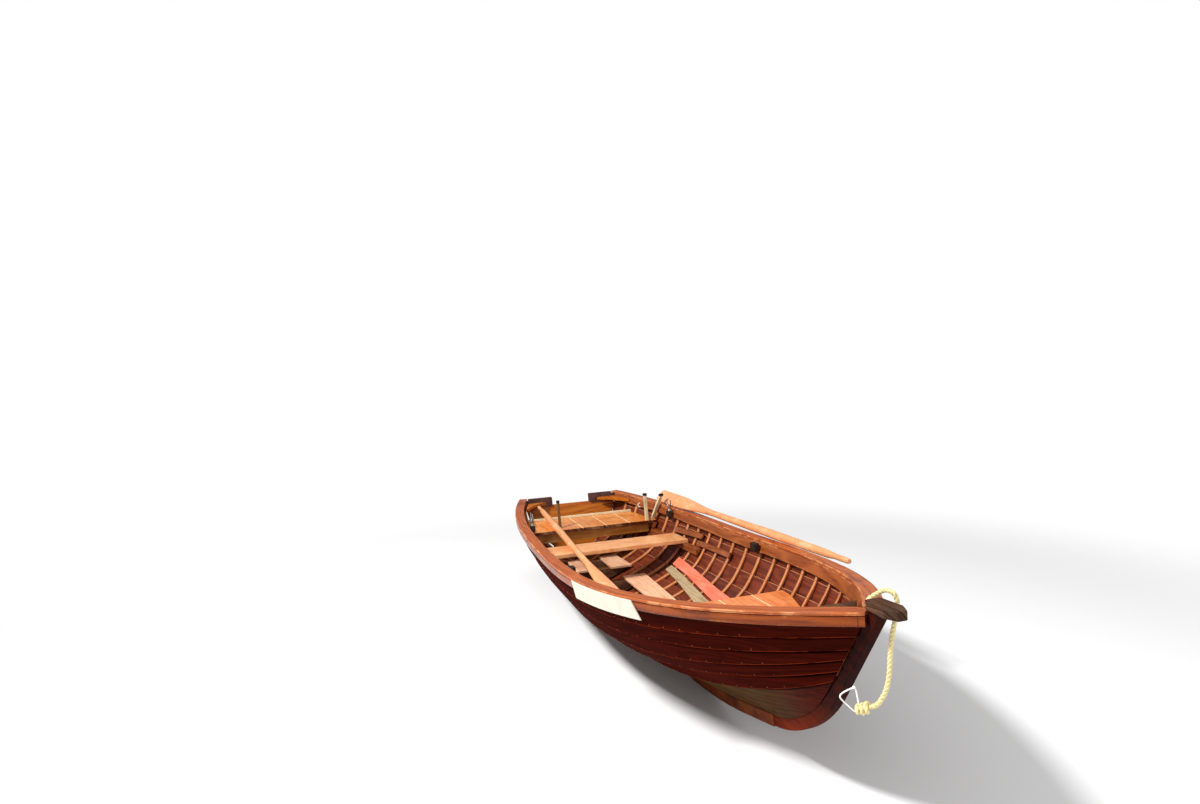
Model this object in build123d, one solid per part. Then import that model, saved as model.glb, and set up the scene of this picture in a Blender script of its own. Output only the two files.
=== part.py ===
"""Clinker-built wooden rowing boat with two oars, in millimetres.

X runs forward, Y to port and Z up. The origin is on the underside of the keel, amidships.
"""
import math
import os

from build123d import *

# Overall sizes of the hull
HULL_LENGTH = 4500.0
BOW = HULL_LENGTH / 2
TRANSOM_X = -HULL_LENGTH / 2
TRANSOM_RAKE = 10.0
TRANSOM_THICKNESS = 26.0
PLANK = 10.0
LAP = 20.0
FIT = 0.4
LAP_FIT = 1.2

# Keel and stem, seen from the side
KEEL_WIDTH = 56.0
KEEL_DEPTH = 52.0
KEEL_STRAIGHT_END = BOW - 1800
KEEL_RISE_RADIUS = 3200.0
KEEL_RISE_ANGLE = 13.25
FOREFOOT_START = BOW - 800
FOREFOOT_RADIUS = 756.0
STEM_ANGLE = 57.0
STEM_WIDTH = 44.0
STEM_DEPTH = 48.0
STEM_HEAD_TOP = 903.0
STEM_HEAD_LENGTH = 150.0
STEM_HEAD_DEPTH = 34.0
STEM_HEAD_WIDTH = 84.0
KEELSON_WIDTH = 70.0
KEELSON_DEPTH = 24.0

# Where the sheer is widest and where it is lowest, as shares of each line's own length
WIDEST_AT = 0.50
LOWEST_AT = 0.35
AFT_FULLNESS = 2.95
AFT_RISE = 2.0

# Plank lines from the keel up: half breadth and height at the transom and amidships,
# height at the stem, and how full the forward half is in plan and in height
LINE_COLUMNS = ("name", "transom_y", "transom_z", "middle_y", "middle_z", "stem_z", "plan_power", "rise_power")
LINES = (
    ("keel", 27.0, 62.0, 29.0, 54.0, 440.0, 3.0, 2.0),
    ("lap_1", 200.0, 173.0, 337.0, 178.0, 554.0, 2.26, 3.67),
    ("lap_2", 294.0, 253.0, 440.0, 230.0, 607.0, 2.5, 3.05),
    ("lap_3", 367.0, 345.0, 530.0, 303.0, 665.0, 2.58, 2.9),
    ("lap_4", 414.0, 442.0, 596.0, 389.0, 712.0, 2.74, 2.54),
    ("lap_5", 439.0, 535.0, 653.0, 498.0, 773.0, 2.78, 2.65),
    ("sheer", 456.0, 624.0, 687.0, 607.5, 845.0, 2.75, 2.44),
)
STRAKE_NAMES = ("garboard", "second", "third", "fourth", "fifth", "sheer")
STEM_LANDING = 21.0
STATIONS = (0.0, 0.1, 0.2, 0.3, 0.4, 0.5, 0.6, 0.7, 0.78, 0.85, 0.91, 0.96, 1.0)

# Rails along the sheer
CAP_THICKNESS = 12.0
OUTWALE_THICKNESS = 22.0
OUTWALE_HEIGHT = 40.0
OUTWALE_GAP = 1.6
INWALE_THICKNESS = 18.0
INWALE_HEIGHT = 62.0
INWALE_GAP = 0.6
INWALE_START = TRANSOM_X + 80
INWALE_END = BOW - 320
CAP_LIP = 2.0
CAPS_APART = 3.0
OUTWALE_LEANS_TO = 0.985

# Bent ribs
RIB_THICKNESS = 14.0
RIB_WIDTH = 24.0
RIB_FIRST = TRANSOM_X + 246
RIB_PITCH = 184.0
RIB_LAST = BOW - 570
RIB_HEAD_DROP = 3.0
RIB_SEAT = 0.8

# Transom top
TRANSOM_TOP = 563.0
SHOULDER_INNER = 180.0
SHOULDER_THICKNESS = 44.0

# Seats: tops, and fore and aft edges measured from amidships
SEAT_BOARD = 22.0
BOARD_GAP = 4.0
STERN_SEAT_TOP = 492.0
STERN_SEAT_AFT = TRANSOM_X + 375
STERN_SEAT_FORE = TRANSOM_X + 855
STERN_BOARD_WIDTH = 206.0
STERN_BEAM_HEIGHT = 78.0
STERN_BEAM_THICKNESS = 24.0
THWART_TOP = 448.0
THWART_AFT = TRANSOM_X + 1215
THWART_FORE = TRANSOM_X + 1475
THWART_THICKNESS = 28.0
BOW_SEAT_TOP = 468.0
BOW_SEAT_AFT = BOW - 1560
BOW_SEAT_FORE = BOW - 980
BOW_BOARD_WIDTH = 200.0
BOW_BEAM_HEIGHT = 70.0
BOW_BEAM_THICKNESS = 24.0
SIDE_CLEARANCE = 4.0
SIDE_CUTS = 6
NARROWEST_BOARD = 14.0

# Stations of the keelson
KEELSON_AT = (TRANSOM_X + 170, TRANSOM_X + 750, THWART_AFT + 135, THWART_FORE + 575,
              BOW_SEAT_AFT - 390, BOW_SEAT_AFT - 70, BOW_SEAT_FORE - 370, BOW_SEAT_FORE - 150)

# Stringers that carry the seats: height, thickness and how far the thwart's ones run on aft and forward
RISER_HEIGHT = 46.0
RISER_THICKNESS = 16.0
THWART_RISER_AFT = 345.0
THWART_RISER_FORE = 215.0
BOW_RISER_AFT = 50.0
RISER_CUTS = 5

# Floor
FLOOR_TOP = 190.0
FLOOR_BOARD = 16.0
FLOOR_BOARD_WIDTH = 130.0
FLOOR_MIDDLE_GAP = 130.0
AFT_FLOOR = (TRANSOM_X + 690, THWART_AFT - 160)
FORE_FLOOR = (THWART_AFT + 120, BOW_SEAT_AFT - 50)
BEARER_WIDTH = 60.0
BEARER_INSET = 20.0
FORE_BEARER_SHARES = (0.0, 0.4, 0.8, 1.0)

# Breasthook
BREASTHOOK_AFT = BOW - 460
BREASTHOOK_FORE = BOW - 325
BREASTHOOK_DROP = 10.0
BREASTHOOK_THICKNESS = 24.0
HOOK_GAP = 0.9

# Knees in the stern quarters: along the side, across the stern, and below the sheer
KNEE_LENGTH = 260.0
KNEE_REACH = 170.0
KNEE_DROP = 48.0
KNEE_THICKNESS = 26.0
KNEE_TOE = 22.0

# Oars
OAR_LENGTH = 0.569 * HULL_LENGTH
LOOM_DIAMETER = 56.0
LOOM_THICKEST_AT = 0.27 * OAR_LENGTH
SHOULDER_DIAMETER = 40.0
GRIP_DIAMETER = 33.0
GRIP_LENGTH = 130.0
BLADE_LENGTH = 720.0
BLADE_WIDTH = 112.0
BLADE_THICKNESS = 16.0
BLADE_ROOT = 34.0

# Rowlocks and their sockets
ROWLOCK_AT = THWART_AFT - 115
FORE_ROWLOCK_AT = THWART_FORE + 980
ROWLOCK_PIN = 12.0
ROWLOCK_BORE = 13.0
SOCKET_LENGTH = 60.0
SOCKET_WIDTH = 34.0
SOCKET_HEIGHT = 48.0
SOCKET_DROP = 6.0
HORN_GAP = 62.0
HORN_ROD = 10.0
HORN_HEIGHT = 94.0
NECK = 30.0
COLLAR_RADIUS = 11.0
COLLAR_HEIGHT = 8.0

# Painter
ROPE = 18.0


def named(line):
    """One row of the table of plank lines, by its column names."""
    return dict(zip(LINE_COLUMNS, line))


LINE = [named(row) for row in LINES]
SHEER_AT_TRANSOM = LINE[-1]["transom_z"]


def save(name, *solids):
    """Writes the solids of one node."""
    shape = solids[0] if len(solids) == 1 else Compound(children=list(solids))
    export_step(shape, f"parts/{name}.step")


def mirrored(points, side):
    """Points taken to the port side (1) or the starboard side (-1)."""
    return [(x, side * y, z) for x, y, z in points]


def loft_of(sections):
    """A solid through four-cornered sections, straight from one to the next."""
    wires = [Wire.make_polygon([Vector(*p) for p in corners], close=True) for corners in sections]
    return Solid.make_loft(wires, ruled=True)


def box(x0, x1, y0, y1, z0, z1):
    """A box from its lowest to its highest corner."""
    return Pos((x0 + x1) / 2, (y0 + y1) / 2, (z0 + z1) / 2) * Box(x1 - x0, y1 - y0, z1 - z0)


def plate(outline, bottom, thickness):
    """A flat board with this outline in plan."""
    face = Face(Wire.make_polygon([Vector(x, y, bottom) for x, y in outline], close=True))
    return Solid.extrude(face, Vector(0, 0, thickness))


def in_profile(x, z):
    """A point of the keel's side view."""
    return Vector(x, 0, z)


# Side view of keel and stem: straight, a long arc, straight, a tight arc, straight
RISE = math.radians(KEEL_RISE_ANGLE)
RAKE = math.radians(STEM_ANGLE)
RISE_END_X = KEEL_STRAIGHT_END + KEEL_RISE_RADIUS * math.sin(RISE)
RISE_END_Z = KEEL_RISE_RADIUS * (1 - math.cos(RISE))
FOREFOOT_Z = RISE_END_Z + (FOREFOOT_START - RISE_END_X) * math.tan(RISE)
FOREFOOT_CENTER_X = FOREFOOT_START - FOREFOOT_RADIUS * math.sin(RISE)
FOREFOOT_CENTER_Z = FOREFOOT_Z + FOREFOOT_RADIUS * math.cos(RISE)


def edge_line(inset):
    """Corner points of the side view, moved into the hull by an inset."""
    r1 = KEEL_RISE_RADIUS - inset
    r2 = FOREFOOT_RADIUS - inset
    rise_z = KEEL_RISE_RADIUS
    return {
        "keel": (KEEL_STRAIGHT_END, inset),
        "rise_mid": (KEEL_STRAIGHT_END + r1 * math.sin(RISE / 2), rise_z - r1 * math.cos(RISE / 2)),
        "rise": (KEEL_STRAIGHT_END + r1 * math.sin(RISE), rise_z - r1 * math.cos(RISE)),
        "foot": (FOREFOOT_CENTER_X + r2 * math.sin(RISE), FOREFOOT_CENTER_Z - r2 * math.cos(RISE)),
        "foot_mid": (FOREFOOT_CENTER_X + r2 * math.sin((RISE + RAKE) / 2),
                     FOREFOOT_CENTER_Z - r2 * math.cos((RISE + RAKE) / 2)),
        "stem": (FOREFOOT_CENTER_X + r2 * math.sin(RAKE), FOREFOOT_CENTER_Z - r2 * math.cos(RAKE)),
    }


def stem_x(z, inset):
    """Distance forward of the stem's edge at a height."""
    foot = edge_line(inset)["stem"]
    if z >= foot[1]:
        return foot[0] + (z - foot[1]) / math.tan(RAKE)
    radius = FOREFOOT_RADIUS - inset
    return FOREFOOT_CENTER_X + math.sqrt(max(radius**2 - (FOREFOOT_CENTER_Z - z) ** 2, 0.0))


def keel_z(x, inset):
    """Height of the keel's edge at a distance from amidships."""
    points = edge_line(inset)
    if x <= points["keel"][0]:
        return inset
    if x <= points["rise"][0]:
        radius = KEEL_RISE_RADIUS - inset
        return KEEL_RISE_RADIUS - math.sqrt(radius**2 - (x - KEEL_STRAIGHT_END) ** 2)
    if x <= points["foot"][0]:
        return points["rise"][1] + (x - points["rise"][0]) * math.tan(RISE)
    radius = FOREFOOT_RADIUS - inset
    if x <= points["stem"][0]:
        return FOREFOOT_CENTER_Z - math.sqrt(radius**2 - (x - FOREFOOT_CENTER_X) ** 2)
    return points["stem"][1] + (x - points["stem"][0]) * math.tan(RAKE)


def transom_x(z):
    """Distance aft of the transom's outer face at a height."""
    return TRANSOM_X + (SHEER_AT_TRANSOM - z) * math.tan(math.radians(TRANSOM_RAKE))


def line_end(line):
    """Where a plank line meets the stem."""
    return stem_x(line["stem_z"], STEM_DEPTH) - 4 * FIT


def line_point(index, share):
    """A point of a plank line on the port side, at a share of its length from the transom."""
    line = LINE[index]
    start = transom_x(line["transom_z"])
    x = start + share * (line_end(line) - start)
    if share < WIDEST_AT:
        fade = ((WIDEST_AT - share) / WIDEST_AT) ** AFT_FULLNESS
        y = line["middle_y"] - (line["middle_y"] - line["transom_y"]) * fade
    else:
        fade = ((share - WIDEST_AT) / (1 - WIDEST_AT)) ** line["plan_power"]
        y = line["middle_y"] - (line["middle_y"] - STEM_LANDING) * fade
    aft = max((LOWEST_AT - share) / LOWEST_AT, 0.0) ** AFT_RISE
    fore = max((share - LOWEST_AT) / (1 - LOWEST_AT), 0.0) ** line["rise_power"]
    if index == 0:
        z = keel_z(x, KEEL_DEPTH) + FIT + (line["transom_z"] - line["middle_z"]) * aft
    else:
        z = line["middle_z"] + (line["transom_z"] - line["middle_z"]) * aft
        z += (line["stem_z"] - line["middle_z"]) * fore
    return Vector(x, y, z)


def outward(index, share):
    """Unit normal of the strake above a plank line, pointing out of the hull."""
    low, high = line_point(index, share), line_point(index + 1, share)
    step = 0.01 if share < 0.5 else -0.01
    along = (line_point(index, share + step) - low) * (1 if step > 0 else -1)
    normal = (high - low).cross(along).normalized()
    return normal if normal.Y > 0 else -normal


OUTER_LOW, OUTER_HIGH, INNER_HIGH, INNER_LOW = range(4)


def strake_corners(index, share):
    """Four corners of a strake's section: outer low, outer high, inner high, inner low."""
    normal = outward(index, share)
    low, high = line_point(index, share), line_point(index + 1, share)
    inner_high = high - normal * PLANK
    if index == 0:
        inner_low = low - normal * PLANK
        lean = (inner_high - inner_low).normalized()
    else:
        seat = low + normal * LAP_FIT
        lean = (inner_high - seat).normalized()
        inner_low = seat - lean * LAP
    across = lean.cross(normal).normalized()
    skin = across.cross(lean).normalized() * PLANK
    if skin.Y < 0:
        skin = -skin
    return [inner_low + skin, inner_high + skin, inner_high, inner_low]


CORNERS = [[strake_corners(index, share) for share in STATIONS] for index in range(6)]


def along_line(points, x):
    """Point at a distance from amidships on a line that is straight between points."""
    if x <= points[0].X:
        a, b = points[0], points[1]
    elif x >= points[-1].X:
        a, b = points[-2], points[-1]
    else:
        a, b = next((p, q) for p, q in zip(points, points[1:]) if p.X <= x <= q.X)
    return a + (b - a) * ((x - a.X) / (b.X - a.X))


def edge_at(index, corner, x):
    """Point at a distance from amidships on one of a strake's four long edges."""
    return along_line([station[corner] for station in CORNERS[index]], x)


def across_at(index, part, x):
    """Point at a distance from amidships on a strake's inner face, at a part of its width."""
    low = [station[INNER_LOW] for station in CORNERS[index]]
    high = [station[INNER_HIGH] for station in CORNERS[index]]
    points = [a + (b - a) * part for a, b in zip(low, high)]
    return along_line(points, x)


def between(points, share):
    """A point at a share of the stations on a line that is straight between them."""
    for number, (low, high) in enumerate(zip(STATIONS, STATIONS[1:])):
        if share <= high:
            return points[number] + (points[number + 1] - points[number]) * ((share - low) / (high - low))
    return points[-1]


def make_strakes(side, side_name):
    """The six strakes of one side."""
    for index, name in enumerate(STRAKE_NAMES):
        sections = []
        for station in CORNERS[index]:
            corners = [(p.X, p.Y, p.Z) for p in station]
            sections.append(mirrored(corners, side))
        save(f"strake_{name}_{side_name}", loft_of(sections))


def sheer_frame(share):
    """Top edge of the planking: its outer point, the level outward normal and the lean."""
    outer = between([station[OUTER_HIGH] for station in CORNERS[5]], share)
    inner = between([station[INNER_HIGH] for station in CORNERS[5]], share)
    below = between([station[OUTER_LOW] for station in CORNERS[5]], share)
    step = 0.02 if share < 0.5 else -0.02
    along = line_point(6, share + step) - line_point(6, share)
    if step < 0:
        along = -along
    flat = Vector(-along.Y, along.X, 0).normalized()
    lean = (outer - below).dot(flat) / (outer.Z - below.Z)
    top = Vector(outer.X, outer.Y, max(outer.Z, inner.Z))
    return top, flat, lean


def outwale_sections(side):
    """Sections of the outwale, which lies against the planking's lean, is upright outside and ends upright at the stem."""
    out0, out1 = OUTWALE_GAP, OUTWALE_GAP + OUTWALE_THICKNESS
    sections = []
    for share in [s for s in STATIONS if s < OUTWALE_LEANS_TO] + [OUTWALE_LEANS_TO, 1.0]:
        here, flat, lean = sheer_frame(share)
        if share > OUTWALE_LEANS_TO:
            lean = 0.0
        corners = []
        for reach, leaning, height in ((out1, UPRIGHT, -OUTWALE_HEIGHT), (out1, UPRIGHT, -FIT),
                                       (out0, LEANING, -FIT), (out0, LEANING, -OUTWALE_HEIGHT)):
            p = here + flat * (reach + (height * lean if leaning else 0.0))
            corners.append((p.X, p.Y, p.Z + height))
        sections.append(mirrored(corners, side))
    return sections


def inwale_sections(side):
    """Sections of the inwale, which lies against the ribs."""
    line = [station[OUTER_HIGH].X for station in CORNERS[5]]
    sections = []
    for x in [INWALE_START] + [x for x in line if INWALE_START + 20 < x < INWALE_END - 20] + [INWALE_END]:
        top, bottom = sheer_top(x) - FIT, sheer_top(x) - INWALE_HEIGHT
        corners = [(x, rib_side(x, bottom), bottom), (x, rib_side(x, top), top),
                   (x, inwale_face(x, 0.0), top), (x, inwale_face(x, INWALE_HEIGHT), bottom)]
        sections.append(mirrored(corners, side))
    return sections


def inwale_inside(x, z):
    """Half breadth to the inwale's inner face at a station and a height."""
    bottom = along_line([Vector(*section[3]) for section in INWALE], x)
    top = along_line([Vector(*section[2]) for section in INWALE], x)
    return bottom.Y + (top.Y - bottom.Y) * (z - bottom.Z) / (top.Z - bottom.Z)


def cap_sections(side):
    """Sections of the flat cap over outwale, planking, rib heads and inwale."""
    sections = []
    for share in STATIONS:
        here, flat = sheer_frame(share)[:2]
        outer = here + flat * (OUTWALE_GAP + OUTWALE_THICKNESS + CAP_LIP)
        reach = min((here.Y - inwale_face(here.X, 0.0) + CAP_LIP) * flat.Y, (here.Y - CAPS_APART) / flat.Y)
        inner = here - flat * reach
        corners = [(p.X, p.Y, here.Z + height) for p, height in
                   ((outer, FIT), (outer, FIT + CAP_THICKNESS), (inner, FIT + CAP_THICKNESS), (inner, FIT))]
        sections.append(mirrored(corners, side))
    return sections


UPRIGHT, LEANING = False, True

def make_rails(side, side_name):
    """Outwale, inwale and the cap that covers both."""
    save(f"outwale_{side_name}", loft_of(outwale_sections(side)))
    save(f"inwale_{side_name}", loft_of(inwale_sections(side)))
    save(f"gunwale_cap_{side_name}", loft_of(cap_sections(side)))


def share_at(x):
    """Share of the sheer's length at a distance from amidships."""
    points = [station[OUTER_HIGH] for station in CORNERS[5]]
    for number, (a, b) in enumerate(zip(points, points[1:])):
        if x <= b.X:
            low, high = STATIONS[number], STATIONS[number + 1]
            return low + (high - low) * (x - a.X) / (b.X - a.X)
    return 1.0


def sheer_top(x):
    """Height of the planking's top edge at a station."""
    return sheer_frame(share_at(x))[0].Z


def rib_side(x, z):
    """Half breadth to the ribs' inner faces at a station and a height near the sheer."""
    points = inside_ring(x, RIB_FACE + INWALE_GAP)
    (y0, z0), (y1, z1) = points[-2:]
    return y0 + (y1 - y0) * (z - z0) / (z1 - z0)


def inwale_face(x, drop):
    """Half breadth to the inwale's inner face at a station, some way below the sheer."""
    slant = math.hypot(1.0, (rib_side(x + 20, sheer_top(x)) - rib_side(x - 20, sheer_top(x))) / 40)
    return rib_side(x, sheer_top(x) - drop) - INWALE_THICKNESS * slant


GARBOARD_PARTS = (0.0, 0.25, 0.5, 0.75)


def inside_ring(x, depth):
    """Points at a depth inside the planking's landings at a station, from the keel to the sheer."""
    ring = [across_at(0, part, x) for part in GARBOARD_PARTS] + [edge_at(index, INNER_HIGH, x) for index in range(6)]
    points = []
    for number, p in enumerate(ring):
        below, above = ring[max(number - 1, 0)], ring[min(number + 1, len(ring) - 1)]
        run = Vector(0, above.Y - below.Y, above.Z - below.Z).normalized()
        strake = max(number - len(GARBOARD_PARTS), 0)
        slant = math.hypot(1.0, (edge_at(strake, INNER_HIGH, x + 20).Y - edge_at(strake, INNER_HIGH, x - 20).Y) / 40)
        points.append((p.Y - run.Z * depth * slant, p.Z + run.Y * depth * slant))
    return points


RIB_FACE = RIB_SEAT + RIB_THICKNESS + FIT


def cut_at(points, y=None, z=None):
    """Points of a ring from a half breadth upwards, or up to a height."""
    if y is not None:
        for number in range(len(points) - 1):
            (y0, z0), (y1, z1) = points[number], points[number + 1]
            if y0 <= y <= y1:
                return [(y, z0 + (z1 - z0) * (y - y0) / (y1 - y0))] + points[number + 1:]
        return points
    for number in range(len(points) - 1):
        (y0, z0), (y1, z1) = points[number], points[number + 1]
        if z0 <= z <= z1:
            return points[:number + 1] + [(y0 + (y1 - y0) * (z - z0) / (z1 - z0), z)]
    return points


def inner_half_breadth(x, z):
    """Half breadth inside the ribs at a station and a height."""
    return cut_at(inside_ring(x, RIB_FACE), z=z)[-1][0]


def floor_at(x, y, depth):
    """Height inside the planking at a station, a half breadth and a depth from its landings."""
    return cut_at(inside_ring(x, depth), y=y)[0][1]


def make_ribs(side, side_name):
    """Bent ribs of one side, from beside the keelson to under the gunwale cap."""
    solids = []
    for number in range(int((RIB_LAST - RIB_FIRST) / RIB_PITCH) + 1):
        middle = RIB_FIRST + number * RIB_PITCH
        rings = []
        edges = (middle - RIB_WIDTH / 2, middle + RIB_WIDTH / 2)
        for x in edges:
            for depth in (RIB_SEAT, RIB_SEAT + RIB_THICKNESS):
                points = inside_ring(x, depth)
                (y0, z0), (y1, z1) = points[-2:]
                points.append((y1 + (y1 - y0) * 0.5, z1 + (z1 - z0) * 0.5))
                points = cut_at(points, z=sheer_top(x) - RIB_HEAD_DROP)
                rings.append(cut_at(points, y=KEELSON_WIDTH / 2 + FIT))
        bends = min(len(ring) for ring in rings) - 1
        outlines = [ring[:1] + ring[-bends:] for ring in rings]
        solids.append(loft_of([[(x, side * y, z) for y, z in outer + inner[::-1]]
                               for x, outer, inner in zip(edges, outlines[0::2], outlines[1::2])]))
    save(f"ribs_{side_name}", *solids)


def profile_face(outer, inner, start, end_outer, end_inner, names):
    """Closed side view between two edge lines; names tell which stretches it runs through."""
    edges = []
    a, b = outer, inner
    order = names
    previous = in_profile(*start[0])
    for kind, key, mid in order:
        here = in_profile(*a[key])
        if (here - previous).length > 1e-6:
            if kind == "line":
                edges.append(Edge.make_line(previous, here))
            else:
                edges.append(Edge.make_three_point_arc(previous, in_profile(*a[mid]), here))
        previous = here
    tip_out = in_profile(*end_outer)
    if (tip_out - previous).length > 1e-6:
        edges.append(Edge.make_line(previous, tip_out))
    tip_in = in_profile(*end_inner)
    edges.append(Edge.make_line(tip_out, tip_in))
    previous = tip_in
    for position in range(len(order) - 1, -1, -1):
        kind_next = order[position + 1][0] if position + 1 < len(order) else "line"
        mid_next = order[position + 1][2] if position + 1 < len(order) else None
        here = in_profile(*b[order[position][1]])
        if (here - previous).length > 1e-6:
            if kind_next == "line":
                edges.append(Edge.make_line(previous, here))
            else:
                edges.append(Edge.make_three_point_arc(previous, in_profile(*b[mid_next]), here))
        previous = here
    first_kind, _, first_mid = order[0]
    last = in_profile(*start[1])
    if (last - previous).length > 1e-6:
        if first_kind == "line":
            edges.append(Edge.make_line(previous, last))
        else:
            edges.append(Edge.make_three_point_arc(previous, in_profile(*b[first_mid]), last))
    edges.append(Edge.make_line(last, in_profile(*start[0])))
    return Face(Wire(edges))


def make_keel():
    """Keel timber from the transom's heel to the forefoot scarf."""
    outer, inner = edge_line(0.0), edge_line(KEEL_DEPTH)
    heel = TRANSOM_X + 90.0
    face = profile_face(outer, inner, ((heel, 0.0), (heel - 8.0, KEEL_DEPTH)), outer["foot"], inner["foot"],
                        (("line", "keel", None), ("arc", "rise", "rise_mid")))
    save("keel", Solid.extrude(Pos(0, -KEEL_WIDTH / 2, 0) * face, Vector(0, KEEL_WIDTH, 0)))


def make_stem():
    """Forefoot and stem in one curved timber, with the thick head on top."""
    outer, inner = edge_line(0.0), edge_line(STEM_DEPTH)
    gap = 0.5
    shift = (gap * math.cos(RISE), gap * math.sin(RISE))
    start = ((outer["foot"][0] + shift[0], outer["foot"][1] + shift[1]),
             (inner["foot"][0] + shift[0], inner["foot"][1] + shift[1]))
    low = STEM_HEAD_TOP - STEM_HEAD_DEPTH
    face = profile_face(outer, inner, start, (stem_x(low, 0.0), low), (stem_x(low, STEM_DEPTH), low),
                        (("arc", "stem", "foot_mid"),))
    post = Solid.extrude(Pos(0, -STEM_WIDTH / 2, 0) * face, Vector(0, STEM_WIDTH, 0))
    front = HULL_LENGTH / 2
    back = front - STEM_HEAD_LENGTH
    half = STEM_HEAD_WIDTH / 2
    outline = [(back, -half * 0.75), (front - 45, -half), (front, -half * 0.45), (front, half * 0.45),
               (front - 45, half), (back, half * 0.75)]
    head = plate(outline, low, STEM_HEAD_DEPTH)
    save("stem", post.fuse(head))


def keelson_base(x):
    """Height of the keelson's underside at a station."""
    return max(floor_at(x, KEELSON_WIDTH / 2, 2 * FIT), keel_z(x, KEEL_DEPTH) + FIT)


KEELSON = [(x, keelson_base(x)) for x in KEELSON_AT]


def keelson_top(aft, fore):
    """Highest point of the keelson's top between two distances from amidships."""
    line = [Vector(x, 0, z) for x, z in KEELSON]
    heights = [along_line(line, x).Z for x in (aft, fore)] + [z for x, z in KEELSON if aft < x < fore]
    return max(heights) + KEELSON_DEPTH


def make_keelson():
    """Inner keel that the floor bearers stand on."""
    sections = []
    half = KEELSON_WIDTH / 2
    for x, low in KEELSON:
        sections.append([(x, -half, low), (x, half, low), (x, half, low + KEELSON_DEPTH), (x, -half, low + KEELSON_DEPTH)])
    save("keelson", loft_of(sections))


def make_transom():
    """Raked transom board inside the plank ends, and the two raised shoulders on it."""
    slope = math.tan(math.radians(TRANSOM_RAKE))
    points = [(p.Y, p.Z) for p in [CORNERS[0][0][INNER_LOW]] + [CORNERS[k][0][INNER_HIGH] for k in range(6)]]
    inner = []
    for number, (y, z) in enumerate(points):
        below, above = points[max(number - 1, 0)], points[min(number + 1, 6)]
        run = Vector(above[0] - below[0], above[1] - below[1], 0).normalized()
        inner.append((y - run.Y * 2 * FIT, z + run.X * 2 * FIT))
    side = cut_at(inner, z=TRANSOM_TOP)
    outline = side + [(-y, z) for y, z in side[::-1]]
    ring = [Vector(transom_x(z) + FIT, y, z) for y, z in outline]
    save("transom", Solid.extrude(Face(Wire.make_polygon(ring, close=True)), Vector(TRANSOM_THICKNESS, 0, 0)))
    top_y = side[-1][0]
    edge_y = cut_at(inner, z=SHEER_AT_TRANSOM - 4)[-1][0]
    cap_y = cap_sections(1)[0][2][1] - 6.0
    for sign, name in ((1, "port"), (-1, "starboard")):
        low, under_cap, high = TRANSOM_TOP + FIT, SHEER_AT_TRANSOM - 4, SHEER_AT_TRANSOM + CAP_THICKNESS
        corners = [(SHOULDER_INNER, low), (top_y - FIT, low), (edge_y - 3, under_cap), (cap_y, under_cap),
                   (cap_y, high), (SHOULDER_INNER, high)]
        ring = [Vector(TRANSOM_X + (SHEER_AT_TRANSOM - z) * slope + 3, sign * y, z) for y, z in corners]
        save(f"transom_shoulder_{name}",
             Solid.extrude(Face(Wire.make_polygon(ring, close=True)), Vector(SHOULDER_THICKNESS, 0, 0)))


def make_risers(side, side_name):
    """Stringers inside the ribs that carry the seats and the thwart."""
    solids = []
    for top, aft, fore in (
            (THWART_TOP - THWART_THICKNESS - FIT, THWART_AFT - THWART_RISER_AFT, THWART_FORE + THWART_RISER_FORE),
            (STERN_SEAT_TOP - SEAT_BOARD - FIT, STERN_SEAT_AFT - FIT, STERN_SEAT_FORE - FIT),
            (BOW_SEAT_TOP - SEAT_BOARD - FIT, BOW_SEAT_AFT - BOW_RISER_AFT, BOW_SEAT_FORE - FIT)):
        sections = []
        for number in range(RISER_CUTS + 1):
            x = aft + (fore - aft) * number / RISER_CUTS
            upper = inner_half_breadth(x, top)
            lower = inner_half_breadth(x, top - RISER_HEIGHT)
            reach = min(upper, lower) - FIT
            sections.append(mirrored([(x, reach - RISER_THICKNESS, top - RISER_HEIGHT), (x, lower - FIT, top - RISER_HEIGHT),
                                      (x, upper - FIT, top), (x, reach - RISER_THICKNESS, top)], side))
        solids.append(loft_of(sections))
    save(f"risers_{side_name}", *solids)


def seat_boards(aft, fore, top, width, thickness):
    """Fore-and-aft boards that fill the boat's width between two stations, the outer ones cut to its sides."""
    solids = []
    bottom = top - thickness
    steps = [aft + (fore - aft) * number / SIDE_CUTS for number in range(SIDE_CUTS + 1)]
    limits = [inner_half_breadth(x, bottom) - SIDE_CLEARANCE for x in steps]
    low, high = -(width - BOARD_GAP) / 2, (width - BOARD_GAP) / 2
    solids.append(plate([(aft, low), (fore, low), (fore, high), (aft, high)], bottom, thickness))
    low, high = low + width, high + width
    while low + NARROWEST_BOARD < max(limits):
        wide = [(x, min(high, limit)) for x, limit in zip(steps, limits) if limit > low + NARROWEST_BOARD]
        for sign in (1, -1):
            outline = [(wide[0][0], low)] + [(wide[-1][0], low)] + wide[::-1]
            solids.append(plate([(x, sign * y) for x, y in outline], bottom, thickness))
        low, high = low + width, high + width
    return solids


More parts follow.
